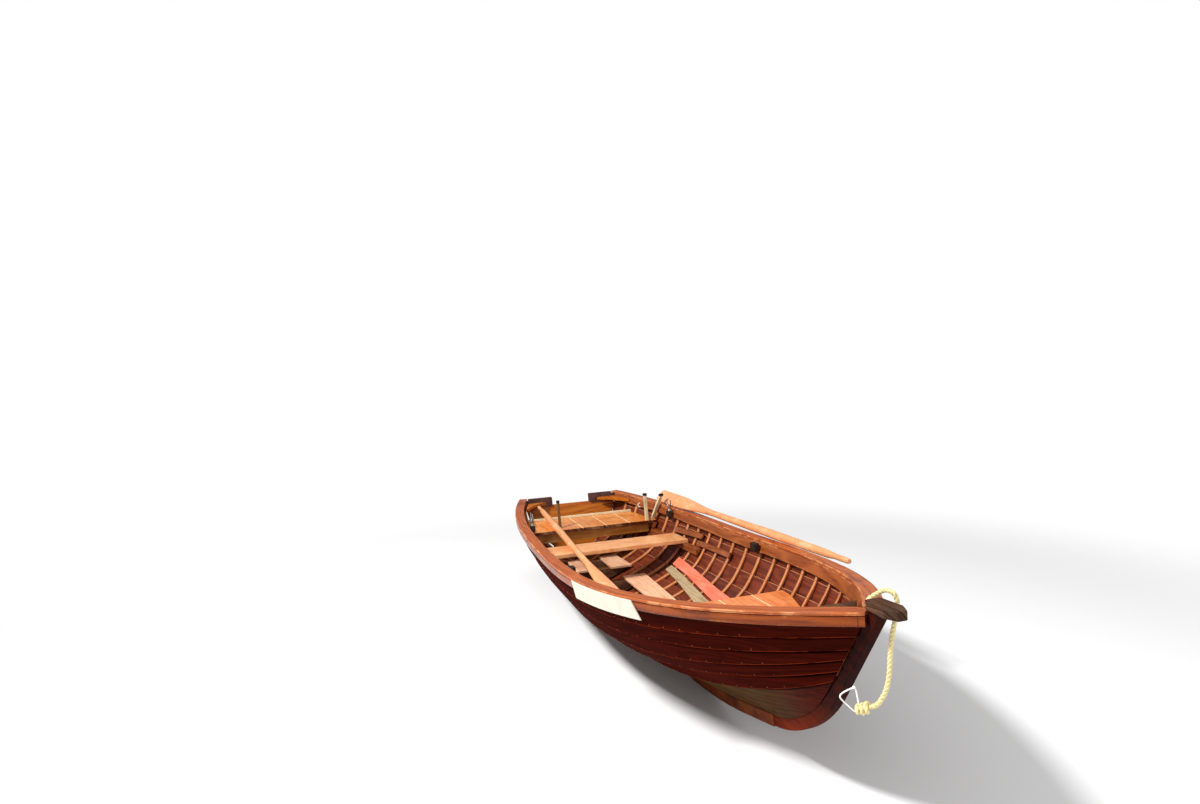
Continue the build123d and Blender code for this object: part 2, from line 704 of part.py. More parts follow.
def make_seats():
    """Stern seat, rowing thwart and bow seat, each with its beams."""
    save("stern_seat", *seat_boards(STERN_SEAT_AFT, STERN_SEAT_FORE, STERN_SEAT_TOP, STERN_BOARD_WIDTH, SEAT_BOARD))
    under = STERN_SEAT_TOP - SEAT_BOARD - FIT
    for name, x in (("stern_seat_fore_beam", STERN_SEAT_FORE - 30 - STERN_BEAM_THICKNESS), ("stern_seat_aft_beam", STERN_SEAT_AFT)):
        reach = min(inner_half_breadth(x, under - STERN_BEAM_HEIGHT), inner_half_breadth(x, under)) - RISER_THICKNESS - 2 * FIT - 2
        reach = min(reach, inner_half_breadth(x + STERN_BEAM_THICKNESS, under - STERN_BEAM_HEIGHT) - RISER_THICKNESS - 3)
        save(name, box(x, x + STERN_BEAM_THICKNESS, -reach, reach, under - STERN_BEAM_HEIGHT, under))
    reach = inner_half_breadth(STERN_SEAT_AFT, STERN_SEAT_TOP) - SIDE_CLEARANCE - 2
    save("stern_seat_ledge", box(STERN_SEAT_AFT, STERN_SEAT_AFT + 20, -reach, reach, STERN_SEAT_TOP + FIT, STERN_SEAT_TOP + 20))
    bottom = THWART_TOP - THWART_THICKNESS
    aft_y = inner_half_breadth(THWART_AFT, bottom) - SIDE_CLEARANCE
    fore_y = inner_half_breadth(THWART_FORE, bottom) - SIDE_CLEARANCE
    save("rowing_thwart", plate([(THWART_AFT, -aft_y), (THWART_FORE, -fore_y), (THWART_FORE, fore_y), (THWART_AFT, aft_y)],
                                bottom, THWART_THICKNESS))
    save("bow_seat", *seat_boards(BOW_SEAT_AFT, BOW_SEAT_FORE, BOW_SEAT_TOP, BOW_BOARD_WIDTH, SEAT_BOARD))
    under = BOW_SEAT_TOP - SEAT_BOARD - FIT
    x = BOW_SEAT_AFT + 25
    reach = inner_half_breadth(x + BOW_BEAM_THICKNESS, under - BOW_BEAM_HEIGHT) - RISER_THICKNESS - 3
    save("bow_seat_beam", box(x, x + BOW_BEAM_THICKNESS, -reach, reach, under - BOW_BEAM_HEIGHT, under))


def make_floor():
    """Bearers across the bottom and the boards that lie on them."""
    bearers = []
    top = FLOOR_TOP - FLOOR_BOARD - FIT
    places = [AFT_FLOOR[0] + BEARER_INSET, AFT_FLOOR[1] - BEARER_WIDTH - BEARER_INSET]
    first, last = FORE_FLOOR[0] + BEARER_INSET, FORE_FLOOR[1] - BEARER_WIDTH - BEARER_INSET
    places += [first + (last - first) * share for share in FORE_BEARER_SHARES]
    for x in places:
        ends = (x, x + BEARER_WIDTH)
        low = keelson_top(*ends) + FIT
        rings = [cut_at(cut_at(inside_ring(e, RIB_FACE + 2), z=top), y=KEELSON_WIDTH / 2 + 6) for e in ends]
        outline = [(0.0, low), (KEELSON_WIDTH / 2 + 6, low)]
        for (y0, z0), (y1, z1) in zip(rings[0][1:], rings[1][1:]):
            outline.append((min(y0, y1), max(z0, z1, low)))
        outline[-1] = (outline[-1][0], top)
        ring = [(-y, z) for y, z in outline[1:]][::-1] + outline[1:]
        face = Face(Wire.make_polygon([Vector(x, y, z) for y, z in ring], close=True))
        bearers.append(Solid.extrude(face, Vector(BEARER_WIDTH, 0, 0)))
    save("floor_bearers", *bearers)
    bottom = FLOOR_TOP - FLOOR_BOARD
    for name, (x0, x1) in (("floorboards_aft", AFT_FLOOR), ("floorboards_fore", FORE_FLOOR)):
        boards = []
        for sign in (-1, 1):
            for number in range(2):
                low = FLOOR_MIDDLE_GAP / 2 + number * (FLOOR_BOARD_WIDTH + BOARD_GAP)
                corners = []
                for x, y in ((x0, low), (x1, low), (x1, low + FLOOR_BOARD_WIDTH), (x0, low + FLOOR_BOARD_WIDTH)):
                    corners.append((x, sign * min(y, inner_half_breadth(x, bottom) - SIDE_CLEARANCE)))
                boards.append(plate(corners, bottom, FLOOR_BOARD))
        save(name, *boards)


# Boards on the port ribs: distance forward of the thwart's aft edge, and heights of the lowest edge, the joint and the highest edge
SIDE_PLANK_COLUMNS = ("along", "low", "joint", "high")
SIDE_PLANKS = (
    (275.0, 227.0, 259.0, 311.0),
    (585.0, 211.0, 246.0, 296.0),
    (1035.0, 187.0, 226.0, 275.0),
    (1385.0, 186.0, 227.0, 278.0),
    (1735.0, 205.0, 246.0, 300.0),
)
SIDE_PLANK_JOINT = 5.0
SIDE_PLANK_THICKNESS = 18.0


def side_plank_section(x, low, high):
    """Section of a board that lies on the ribs between two heights."""
    y0, y1 = inner_half_breadth(x, low) - FIT, inner_half_breadth(x, high) - FIT
    run = Vector(0, y1 - y0, high - low).normalized() * SIDE_PLANK_THICKNESS
    return [(x, y0, low), (x, y1, high), (x, y1 - run.Z, high + run.Y), (x, y0 - run.Z, low + run.Y)]


def make_side_planks():
    """Two long boards on the port ribs, one bare and one painted, that run on under the bow seat."""
    rows = [dict(zip(SIDE_PLANK_COLUMNS, row)) for row in SIDE_PLANKS]
    bare, painted = [], []
    for row in rows:
        x = THWART_AFT + row["along"]
        bare.append(side_plank_section(x, row["low"], row["joint"] - SIDE_PLANK_JOINT))
        painted.append(side_plank_section(x, row["joint"] + SIDE_PLANK_JOINT, row["high"]))
    save("side_plank_bare", loft_of(bare))
    save("side_plank_painted", loft_of(painted))


# Stringers on the ribs above the thwart: distances forward of the thwart's aft edge, height of the middle, depth
STRINGER_COLUMNS = ("aft", "fore", "aft_z", "fore_z", "depth")
STRINGERS = (
    (-10.0, 440.0, 472.0, 500.0, 34.0),
    (395.0, 905.0, 449.0, 465.0, 30.0),
)
STRINGER_THICKNESS = 16.0


def make_stringers(side, side_name):
    """Short stringers on the ribs above the ends of the thwart."""
    solids = []
    for row in STRINGERS:
        piece = dict(zip(STRINGER_COLUMNS, row))
        sections = []
        for part_way in (0.0, 0.33, 0.67, 1.0):
            x = THWART_AFT + piece["aft"] + (piece["fore"] - piece["aft"]) * part_way
            middle = piece["aft_z"] + (piece["fore_z"] - piece["aft_z"]) * part_way
            low, high = middle - piece["depth"] / 2, middle + piece["depth"] / 2
            y0, y1 = inner_half_breadth(x, low) - FIT, inner_half_breadth(x, high) - FIT
            sections.append(mirrored([(x, y0 - STRINGER_THICKNESS, low), (x, y0, low), (x, y1, high), (x, y1 - STRINGER_THICKNESS, high)], side))
        solids.append(loft_of(sections))
    save(f"stringers_{side_name}", *solids)


def make_hooks():
    """Breasthook at the bow and the knees in the stern quarters."""
    low = HOOK_TOP - BREASTHOOK_THICKNESS
    line = [station[OUTER_HIGH].X for station in CORNERS[5]]
    xs = [BREASTHOOK_AFT] + [x for x in line if BREASTHOOK_AFT < x < BREASTHOOK_FORE] + [BREASTHOOK_FORE]
    outline = [(x, inwale_inside(x, low) - HOOK_GAP) for x in xs]
    ring = [(x, -y) for x, y in outline] + [(x, y) for x, y in outline[::-1]]
    save("breasthook", plate(ring, low, BREASTHOOK_THICKNESS))
    low = SHEER_AT_TRANSOM - KNEE_DROP
    start = INWALE_START + FIT
    along = [start] + [x for x in line if start < x < start + KNEE_LENGTH] + [start + KNEE_LENGTH]
    side = [(x, inwale_inside(x, low) - HOOK_GAP) for x in along]
    toe, heel = side[-1][1] - KNEE_TOE, side[0][1]
    side += [(start + KNEE_LENGTH - KNEE_TOE, toe), (start + KNEE_LENGTH * 0.27, heel - KNEE_REACH * 0.35), (start, heel - KNEE_REACH)]
    for sign, name in ((1, "port"), (-1, "starboard")):
        save(f"quarter_knee_{name}", plate([(x, sign * y) for x, y in side], low, KNEE_THICKNESS))


LOOM = ((0.0, GRIP_DIAMETER / 2), (GRIP_LENGTH, GRIP_DIAMETER / 2), (GRIP_LENGTH, LOOM_DIAMETER * 0.4),
        (LOOM_THICKEST_AT, LOOM_DIAMETER / 2), (OAR_LENGTH - BLADE_LENGTH, SHOULDER_DIAMETER / 2))

# Blade sections: share of its length, width and thickness
BLADE = ((-0.06, BLADE_ROOT, BLADE_ROOT), (0.25, BLADE_WIDTH * 0.72, BLADE_THICKNESS * 1.6),
         (0.58, BLADE_WIDTH, BLADE_THICKNESS * 1.25), (1.0, BLADE_WIDTH * 0.94, BLADE_THICKNESS))


def loom_radius(distance):
    """Radius of an oar's loom at a distance from its grip end."""
    for (a, low), (b, high) in zip(LOOM, LOOM[1:]):
        if a < b and distance <= b:
            return low + (high - low) * (distance - a) / (b - a)
    return LOOM[-1][1]


def blade_half_height(distance, roll):
    """How far an oar's blade reaches below the oar's line when it is rolled about it."""
    share = (distance - OAR_LENGTH + BLADE_LENGTH) / BLADE_LENGTH
    reaches = [(at, width / 2 * math.sin(roll) + thickness / 2 * math.cos(roll)) for at, width, thickness in BLADE]
    for (a, low), (b, high) in zip(reaches, reaches[1:]):
        if a <= share <= b:
            return low + (high - low) * (share - a) / (b - a)
    return 0.0


def make_oar():
    """An oar along X with its grip at the origin and its blade ahead."""
    outline = [(0.0, 0.0)] + list(LOOM) + [(LOOM[-1][0], 0.0)]
    loom = revolve(Face(Wire.make_polygon([Vector(x, 0, r) for x, r in outline], close=True)), Axis.X)
    sections = []
    for share, width, thickness in BLADE:
        x = OAR_LENGTH - BLADE_LENGTH + BLADE_LENGTH * share
        h, t = width / 2, thickness / 2
        sections.append([(x, -h, -t), (x, h, -t), (x, h, t), (x, -h, t)])
    return loom.fuse(loft_of(sections))


INWALE = inwale_sections(1)


# The port oar lies along the gunwale cap with its blade aft, outboard of the rowlock, its outer edge up;
# the starboard one lies on the seats with its blade forward
PORT_OAR_GRIP_X = BOW - 1250
PORT_OAR_GRIP_Y = 722.0
PORT_OAR_YAW = math.radians(1.4)
PORT_OAR_ROLL = math.radians(45.0)
STARBOARD_OAR_GRIP_X = TRANSOM_X + 150
STARBOARD_OAR_Y = -332.0
CAP_STEPS = 40


def port_oar_rest():
    """Height of the port oar's grip end and the slope of its line, from the two places where it lies on the cap."""
    corners = [Vector(*section[1]) for section in cap_sections(1)]
    edge = [a + (b - a) * (step / CAP_STEPS) for a, b in zip(corners, corners[1:]) for step in range(CAP_STEPS)]
    looms, blades = [], []
    for p in edge:
        back = PORT_OAR_GRIP_X - p.X
        distance = back / math.cos(PORT_OAR_YAW)
        if not 0.0 <= distance <= OAR_LENGTH:
            continue
        aside = max(PORT_OAR_GRIP_Y - back * math.tan(PORT_OAR_YAW) - p.Y, 0.0)
        radius = loom_radius(distance)
        if aside < radius:
            looms.append((p.X, p.Z + math.sqrt(radius**2 - aside**2)))
        below = blade_half_height(distance, PORT_OAR_ROLL)
        if below > 0.0:
            blades.append((p.X, p.Z + below))
    fore = max((point for point in looms if point[0] > 0.0), key=lambda point: point[1])
    aft = max((point for point in blades if point[0] < ROWLOCK_AT), key=lambda point: point[1])
    slope = (fore[1] - aft[1]) / (fore[0] - aft[0])
    height = max(z + (PORT_OAR_GRIP_X - x) * slope for x, z in looms + blades)
    return height + 2 * FIT, math.degrees(math.atan(slope))


def make_oars():
    """Both oars where they are stowed."""
    oar = make_oar()
    height, slope = port_oar_rest()
    turn = Rot(0, 0, 180 + math.degrees(PORT_OAR_YAW)) * Rot(0, slope, 0) * Rot(-math.degrees(PORT_OAR_ROLL), 0, 0)
    save("oar_port", Pos(PORT_OAR_GRIP_X, PORT_OAR_GRIP_Y, height) * turn * oar)
    on_seat = loom_radius(STERN_SEAT_FORE - STARBOARD_OAR_GRIP_X)
    on_thwart = loom_radius(THWART_FORE - STARBOARD_OAR_GRIP_X)
    slope = math.atan((STERN_SEAT_TOP + on_seat - THWART_TOP - on_thwart) / (THWART_FORE - STERN_SEAT_FORE))
    rise = (on_seat + FIT) / math.cos(slope) + (STERN_SEAT_FORE - STARBOARD_OAR_GRIP_X) * math.tan(slope)
    save("oar_starboard", Pos(STARBOARD_OAR_GRIP_X, STARBOARD_OAR_Y, STERN_SEAT_TOP + rise) * Rot(0, math.degrees(slope), 0) * oar)


def make_rowlocks():
    """Rowlock sockets on the inwales, and a swivelling rowlock in each of the two aft ones."""
    for x, place in ((ROWLOCK_AT, "aft"), (FORE_ROWLOCK_AT, "fore")):
        top = sheer_top(x) - SOCKET_DROP
        for sign, name in ((1, "port"), (-1, "starboard")):
            ends = (x - SOCKET_LENGTH / 2, x + SOCKET_LENGTH / 2)
            y_face = min(inwale_inside(end, top - SOCKET_HEIGHT) for end in ends) - 2 * FIT
            y0, y1 = sorted((sign * y_face, sign * (y_face - SOCKET_WIDTH)))
            block = box(x - SOCKET_LENGTH / 2, x + SOCKET_LENGTH / 2, y0, y1, top - SOCKET_HEIGHT, top)
            center = sign * (y_face - SOCKET_WIDTH / 2)
            bore = Pos(x, center, top - SOCKET_HEIGHT / 2) * Cylinder(ROWLOCK_BORE / 2, SOCKET_HEIGHT + 2)
            save(f"rowlock_socket_{place}_{name}", block.cut(bore))
            if place == "aft":
                save(f"rowlock_{name}", rowlock(x, center, top))


def rowlock(x, y, top):
    """A horned rowlock on its pin, open upwards, its horns in line with the boat."""
    low = top - SOCKET_HEIGHT - 2
    pin = Pos(x, y, (low + top + NECK) / 2) * Cylinder(ROWLOCK_PIN / 2, top + NECK - low)
    collar = Pos(x, y, top + FIT + COLLAR_HEIGHT / 2) * Cylinder(COLLAR_RADIUS, COLLAR_HEIGHT)
    half = HORN_GAP / 2 + HORN_ROD / 2
    base, tip = top + NECK + half, top + HORN_HEIGHT
    path = Wire([Edge.make_line(Vector(x - half, y, tip), Vector(x - half, y, base)),
                 Edge.make_three_point_arc(Vector(x - half, y, base), Vector(x, y, base - half), Vector(x + half, y, base)),
                 Edge.make_line(Vector(x + half, y, base), Vector(x + half, y, tip))])
    start = Plane(origin=(x - half, y, tip), z_dir=(0, 0, -1))
    horns = sweep(start * Circle(HORN_ROD / 2), path=path)
    return pin.fuse(collar).fuse(horns)


# Route of the painter, from between the caps behind the stem head, over the head's port side and down to its knot:
# forward, to port and up from where it starts
HOOK_TOP = sheer_top(BREASTHOOK_AFT) - BREASTHOOK_DROP
PAINTER_AT = BOW - STEM_HEAD_LENGTH - 38
PAINTER_Y = 10.0
PAINTER_RISE = 4.3
PAINTER_FOOT = sheer_top(PAINTER_AT) + CAP_THICKNESS + PAINTER_RISE
PAINTER_RUN = (
    (0.0, 0.0, 0.0),
    (-4.0, 0.0, 20.0),
    (5.0, 17.0, 36.0),
    (24.0, 27.0, 52.0),
    (52.0, 32.0, 73.0),
    (82.0, 42.0, 71.0),
    (92.0, 51.0, 46.0),
    (85.0, 48.0, -11.0),
    (70.0, 38.0, -91.0),
    (67.0, 32.0, -151.0),
    (67.0, 28.0, -201.0),
    (64.0, 22.0, -248.0),
    (57.0, 12.0, -287.0),
    (46.0, -1.0, -317.0),
    (37.0, -11.0, -334.0),
    (24.0, -23.0, -341.0),
)
PAINTER = tuple((PAINTER_AT + x, PAINTER_Y + y, PAINTER_FOOT + z) for x, y, z in PAINTER_RUN)
KNOT_RADIUS = 24.0
KNOT_LENGTH = 52.0


def route_radii(points):
    """Radius of the arc at each corner of a route: as large as its two runs allow."""
    radii = []
    for a, b, c in zip(points, points[1:], points[2:]):
        first, second = Vector(*b) - Vector(*a), Vector(*c) - Vector(*b)
        turn = math.radians(first.get_angle(second))
        radii.append(0.45 * min(first.length, second.length) / math.tan(turn / 2))
    return radii


def make_painter():
    """Thick painter and the knot at its end."""
    path = FilletPolyline(*[Vector(*p) for p in PAINTER], radius=route_radii(PAINTER))
    start = Plane(origin=PAINTER[0], z_dir=Vector(*PAINTER[1]) - Vector(*PAINTER[0]))
    save("painter", sweep(start * Circle(ROPE / 2), path=path.wire()))
    end = Vector(*PAINTER[-1])
    run = (end - Vector(*PAINTER[-2])).normalized()
    knot = Plane(origin=end + run * (KNOT_LENGTH / 2 + FIT), z_dir=run) * Cylinder(KNOT_RADIUS, KNOT_LENGTH)
    save("painter_knot", fillet(knot.edges(), 10.0))


# Posts that stand on the stern seat: how far the foot and the top are aft of the seat's front edge, and their half breadths
POST_COLUMNS = ("foot_aft", "foot_y", "top_aft", "top_y")
STERN_POSTS = (
    (95.0, -277.0, 110.0, -284.0),
    (25.0, 474.0, 37.0, 468.0),
    (47.0, 530.0, -63.0, 582.0),
)
POST_WIDTH = 24.0
POST_HEIGHT = 222.0
BOARD_SHARES = (0.65, 0.675, 0.7, 0.74, 0.78, 0.8)
BOARD_THICKNESS = 5.0
BOARD_DROP = 78.0
BOARD_RISE = 4.0


def make_fittings():
    """Blank name board on the starboard bow and the posts on the stern seat."""
    sections = []
    for share in BOARD_SHARES:
        here, flat = sheer_frame(share)[:2]
        base = OUTWALE_GAP + OUTWALE_THICKNESS + CAP_LIP + FIT
        rows = []
        for reach, height in ((base, -BOARD_DROP), (base + BOARD_THICKNESS, -BOARD_DROP),
                              (base + BOARD_THICKNESS, BOARD_RISE), (base, BOARD_RISE)):
            p = here + flat * reach
            rows.append((p.X, -p.Y, p.Z + height))
        sections.append(rows)
    save("name_board", loft_of(sections))
    posts = []
    half = POST_WIDTH / 2
    square = ((-half, -half), (half, -half), (half, half), (-half, half))
    for row in STERN_POSTS:
        post = dict(zip(POST_COLUMNS, row))
        foot = Vector(STERN_SEAT_FORE - post["foot_aft"], post["foot_y"], STERN_SEAT_TOP + FIT)
        top = Vector(STERN_SEAT_FORE - post["top_aft"], post["top_y"], STERN_SEAT_TOP + POST_HEIGHT)
        posts.append(loft_of([[(p.X + a, p.Y + b, p.Z) for a, b in square] for p in (foot, top)]))
    save("stern_posts", *posts)


def main():
    """Builds every node."""
    os.makedirs("parts", exist_ok=True)
    for side, side_name in ((1, "port"), (-1, "starboard")):
        make_strakes(side, side_name)
        make_rails(side, side_name)
        make_ribs(side, side_name)
        make_risers(side, side_name)
        make_stringers(side, side_name)
    make_keel()
    make_stem()
    make_keelson()
    make_transom()
    make_seats()
    make_floor()
    make_side_planks()
    make_hooks()
    make_oars()
    make_rowlocks()
    make_painter()
    make_fittings()


if __name__ == "__main__":
    main()
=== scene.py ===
"""Looks of a clinker-built wooden rowing boat, around its frame.

Metres; X runs forward, Y to port and Z up, from the underside of the keel amidships.
"""

import logging
import math
from dataclasses import dataclass
from enum import Enum

import bpy
import numpy as np
from mathutils import Matrix, Vector


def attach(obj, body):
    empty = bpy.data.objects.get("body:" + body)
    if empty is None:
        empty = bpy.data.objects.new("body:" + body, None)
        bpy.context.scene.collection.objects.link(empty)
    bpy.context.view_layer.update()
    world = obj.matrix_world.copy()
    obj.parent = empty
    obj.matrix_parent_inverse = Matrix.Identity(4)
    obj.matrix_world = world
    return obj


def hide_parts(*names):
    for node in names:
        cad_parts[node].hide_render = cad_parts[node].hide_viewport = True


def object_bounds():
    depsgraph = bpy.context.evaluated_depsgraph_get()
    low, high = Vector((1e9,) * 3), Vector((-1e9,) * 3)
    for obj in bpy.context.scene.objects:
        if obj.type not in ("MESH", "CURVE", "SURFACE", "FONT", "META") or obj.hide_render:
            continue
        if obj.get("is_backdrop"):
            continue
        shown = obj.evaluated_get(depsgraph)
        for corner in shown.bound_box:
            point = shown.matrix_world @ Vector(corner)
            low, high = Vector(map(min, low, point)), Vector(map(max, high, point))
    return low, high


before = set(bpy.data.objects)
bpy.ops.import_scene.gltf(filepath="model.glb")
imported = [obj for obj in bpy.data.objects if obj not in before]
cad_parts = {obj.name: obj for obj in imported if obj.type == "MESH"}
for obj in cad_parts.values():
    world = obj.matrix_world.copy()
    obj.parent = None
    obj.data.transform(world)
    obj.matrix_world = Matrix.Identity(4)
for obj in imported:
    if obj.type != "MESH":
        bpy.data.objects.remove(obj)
LOG = logging.getLogger("boat")
MM = 0.001
# One turn in radians, as the shaders use it
TURN = 6.283
SIDES = (("port", 1.0), ("starboard", -1.0))
# Heights of the stern seat and the thwart, in metres
SEAT_TOP, THWART_TOP = 0.492, 0.448


# Shader nodes


def linear(code: str) -> tuple[float, float, float, float]:
    """Scene-linear colour, with an alpha of one, of a screen colour given as #rrggbb."""
    parts = [int(code[k:k + 2], 16) / 255 for k in (1, 3, 5)]
    return tuple(c / 12.92 if c <= 0.04045 else ((c + 0.055) / 1.055) ** 2.4 for c in parts) + (1.0,)


class Signal:
    """A shader node's output, with arithmetic on numbers."""

    def __init__(self, graph: "Graph", socket: bpy.types.NodeSocket) -> None:
        """Wraps an output socket of a graph."""
        self.graph = graph
        self.socket = socket

    def math(self, operation: str, *values: "Signal | float") -> "Signal":
        """A math node over the given values."""
        return self.graph.node("Math", {"operation": operation}, dict(enumerate(values)))

    def __add__(self, other: "Signal | float") -> "Signal":
        return self.math("ADD", self, other)

    def __radd__(self, other: float) -> "Signal":
        return self.math("ADD", other, self)

    def __sub__(self, other: "Signal | float") -> "Signal":
        return self.math("SUBTRACT", self, other)

    def __rsub__(self, other: float) -> "Signal":
        return self.math("SUBTRACT", other, self)

    def __mul__(self, other: "Signal | float") -> "Signal":
        return self.math("MULTIPLY", self, other)

    def __rmul__(self, other: float) -> "Signal":
        return self.math("MULTIPLY", other, self)

    def __truediv__(self, other: "Signal | float") -> "Signal":
        return self.math("DIVIDE", self, other)

    def __rtruediv__(self, other: float) -> "Signal":
        return self.math("DIVIDE", other, self)

    def __pow__(self, other: "Signal | float") -> "Signal":
        return self.math("POWER", self, other)

    def between(self, low: float, high: float, to_low: float = 0.0, to_high: float = 1.0) -> "Signal":
        """Maps the range low to high onto another range, smoothly and clamped."""
        return self.graph.node("MapRange", {"interpolation_type": "SMOOTHSTEP"},
                               {"Value": self, "From Min": low, "From Max": high,
                                "To Min": to_low, "To Max": to_high})

    def floor(self) -> "Signal":
        """Rounds down to a whole number."""
        return self.math("FLOOR", self)

    def fraction(self) -> "Signal":
        """What is left above the whole number."""
        return self.math("FRACT", self)

    def sine(self) -> "Signal":
        """Sine of the value, from minus one to one."""
        return self.math("SINE", self)


class Graph:
    """The node tree of one material."""

    # Numbers of the mix node's two colour inputs and of its colour output
    FIRST, SECOND, MIXED = 6, 7, 2
    COAT_ROUGHNESS = 0.2
    BUMP_STRENGTH = 0.7

    def __init__(self, name: str) -> None:
        """Makes an empty material with its principled shader.

        Args:
            name: Name of the material.
        """
        self.material = bpy.data.materials.new(name)
        self.material.use_nodes = True
        self.tree = self.material.node_tree
        self.shader = self.tree.nodes["Principled BSDF"]

    def link(self, value: "Signal | float | tuple", socket: bpy.types.NodeSocket) -> None:
        """Links a signal to an input, or sets the input to a constant."""
        if isinstance(value, Signal):
            self.tree.links.new(value.socket, socket)
        else:
            socket.default_value = value

    def node(self, kind: str, settings: dict | None = None, inputs: dict | None = None,
             output: int | str = 0) -> Signal:
        """Adds any node.

        Args:
            kind: Type of the node without its ShaderNode prefix.
            settings: Attributes of the node by name.
            inputs: Signals or constants by the input's name or number.
            output: Name or number of the output to return.

        Returns:
            The chosen output.
        """
        made = self.tree.nodes.new("ShaderNode" + kind)
        for key, value in (settings or {}).items():
            setattr(made, key, value)
        for key, value in (inputs or {}).items():
            self.link(value, made.inputs[key])
        return Signal(self, made.outputs[output])

    def mix(self, factor: "Signal | float", a: "Signal | tuple", b: "Signal | tuple") -> Signal:
        """Mixes two colours by the second one's share."""
        return self.node("Mix", {"data_type": "RGBA", "clamp_factor": True},
                         {"Factor": factor, self.FIRST: a, self.SECOND: b}, self.MIXED)

    def combine(self, x: "Signal | float", y: "Signal | float", z: "Signal | float" = 0.0) -> Signal:
        """A vector from three numbers."""
        return self.node("CombineXYZ", None, {0: x, 1: y, 2: z})

    def parts(self, vector: Signal) -> list[Signal]:
        """The three numbers of a vector."""
        made = self.node("SeparateXYZ", None, {0: vector})
        return [Signal(self, out) for out in made.socket.node.outputs]

    def noise(self, vector: Signal, scale: float, detail: float = 3.0, rough: float = 0.5) -> Signal:
        """Smooth noise from zero to one, with its scale, number of finer layers and their strength."""
        return self.node("TexNoise", {"noise_dimensions": "3D"},
                         {"Vector": vector, "Scale": scale, "Detail": detail, "Roughness": rough})

    def attribute(self, name: str) -> Signal:
        """A number stored on the mesh."""
        return self.node("Attribute", {"attribute_name": name}, None, "Fac")

    def uv(self) -> list[Signal]:
        """Distance along and across the piece, in metres."""
        return self.parts(self.node("UVMap", {"uv_map": "UVMap"}))[:2]

    def place(self) -> list[Signal]:
        """The three coordinates in the frame, in metres."""
        return self.parts(self.node("TexCoord", None, None, "Object"))

    def finish(self, color: "Signal | tuple", roughness: "Signal | float", height: Signal | None = None,
               depth: float = 0.001, metallic: float = 0.0, coat: "Signal | float" = 0.0,
               gloss: float = 0.3) -> bpy.types.Material:
        """Feeds the principled shader.

        Args:
            color: Base colour.
            roughness: Roughness.
            height: Relief from zero to one.
            depth: Height of the relief in metres.
            metallic: One for bare metal.
            coat: Strength of the clear coat.
            gloss: Level of the surface's own reflection.

        Returns:
            The material.
        """
        inputs = self.shader.inputs
        self.link(color, inputs["Base Color"])
        self.link(roughness, inputs["Roughness"])
        inputs["Metallic"].default_value = metallic
        self.link(coat, inputs["Coat Weight"])
        inputs["Coat Roughness"].default_value = self.COAT_ROUGHNESS
        inputs["Specular IOR Level"].default_value = gloss
        if height is not None:
            bump = self.node("Bump", None,
                             {"Height": height, "Distance": depth, "Strength": self.BUMP_STRENGTH})
            self.link(bump, inputs["Normal"])
        return self.material


# Finishes


class Grain(Enum):
    """Which way the wood's grain runs on a piece."""

    UV = "along the piece's own map"
    FORE_AFT = "along X"
    ATHWART = "along Y"


@dataclass(frozen=True)
class Tint:
    """A second pair of colours that a wood fades to along one axis of the frame.

    Attributes:
        dark: Colour of its dark grain.
        light: Colour of its pale grain.
        axis: Number of the axis, from zero for X to two for Z.
        start: Distance in metres where it starts.
        end: Distance in metres where it is full.
    """

    dark: str
    light: str
    axis: int
    start: float
    end: float


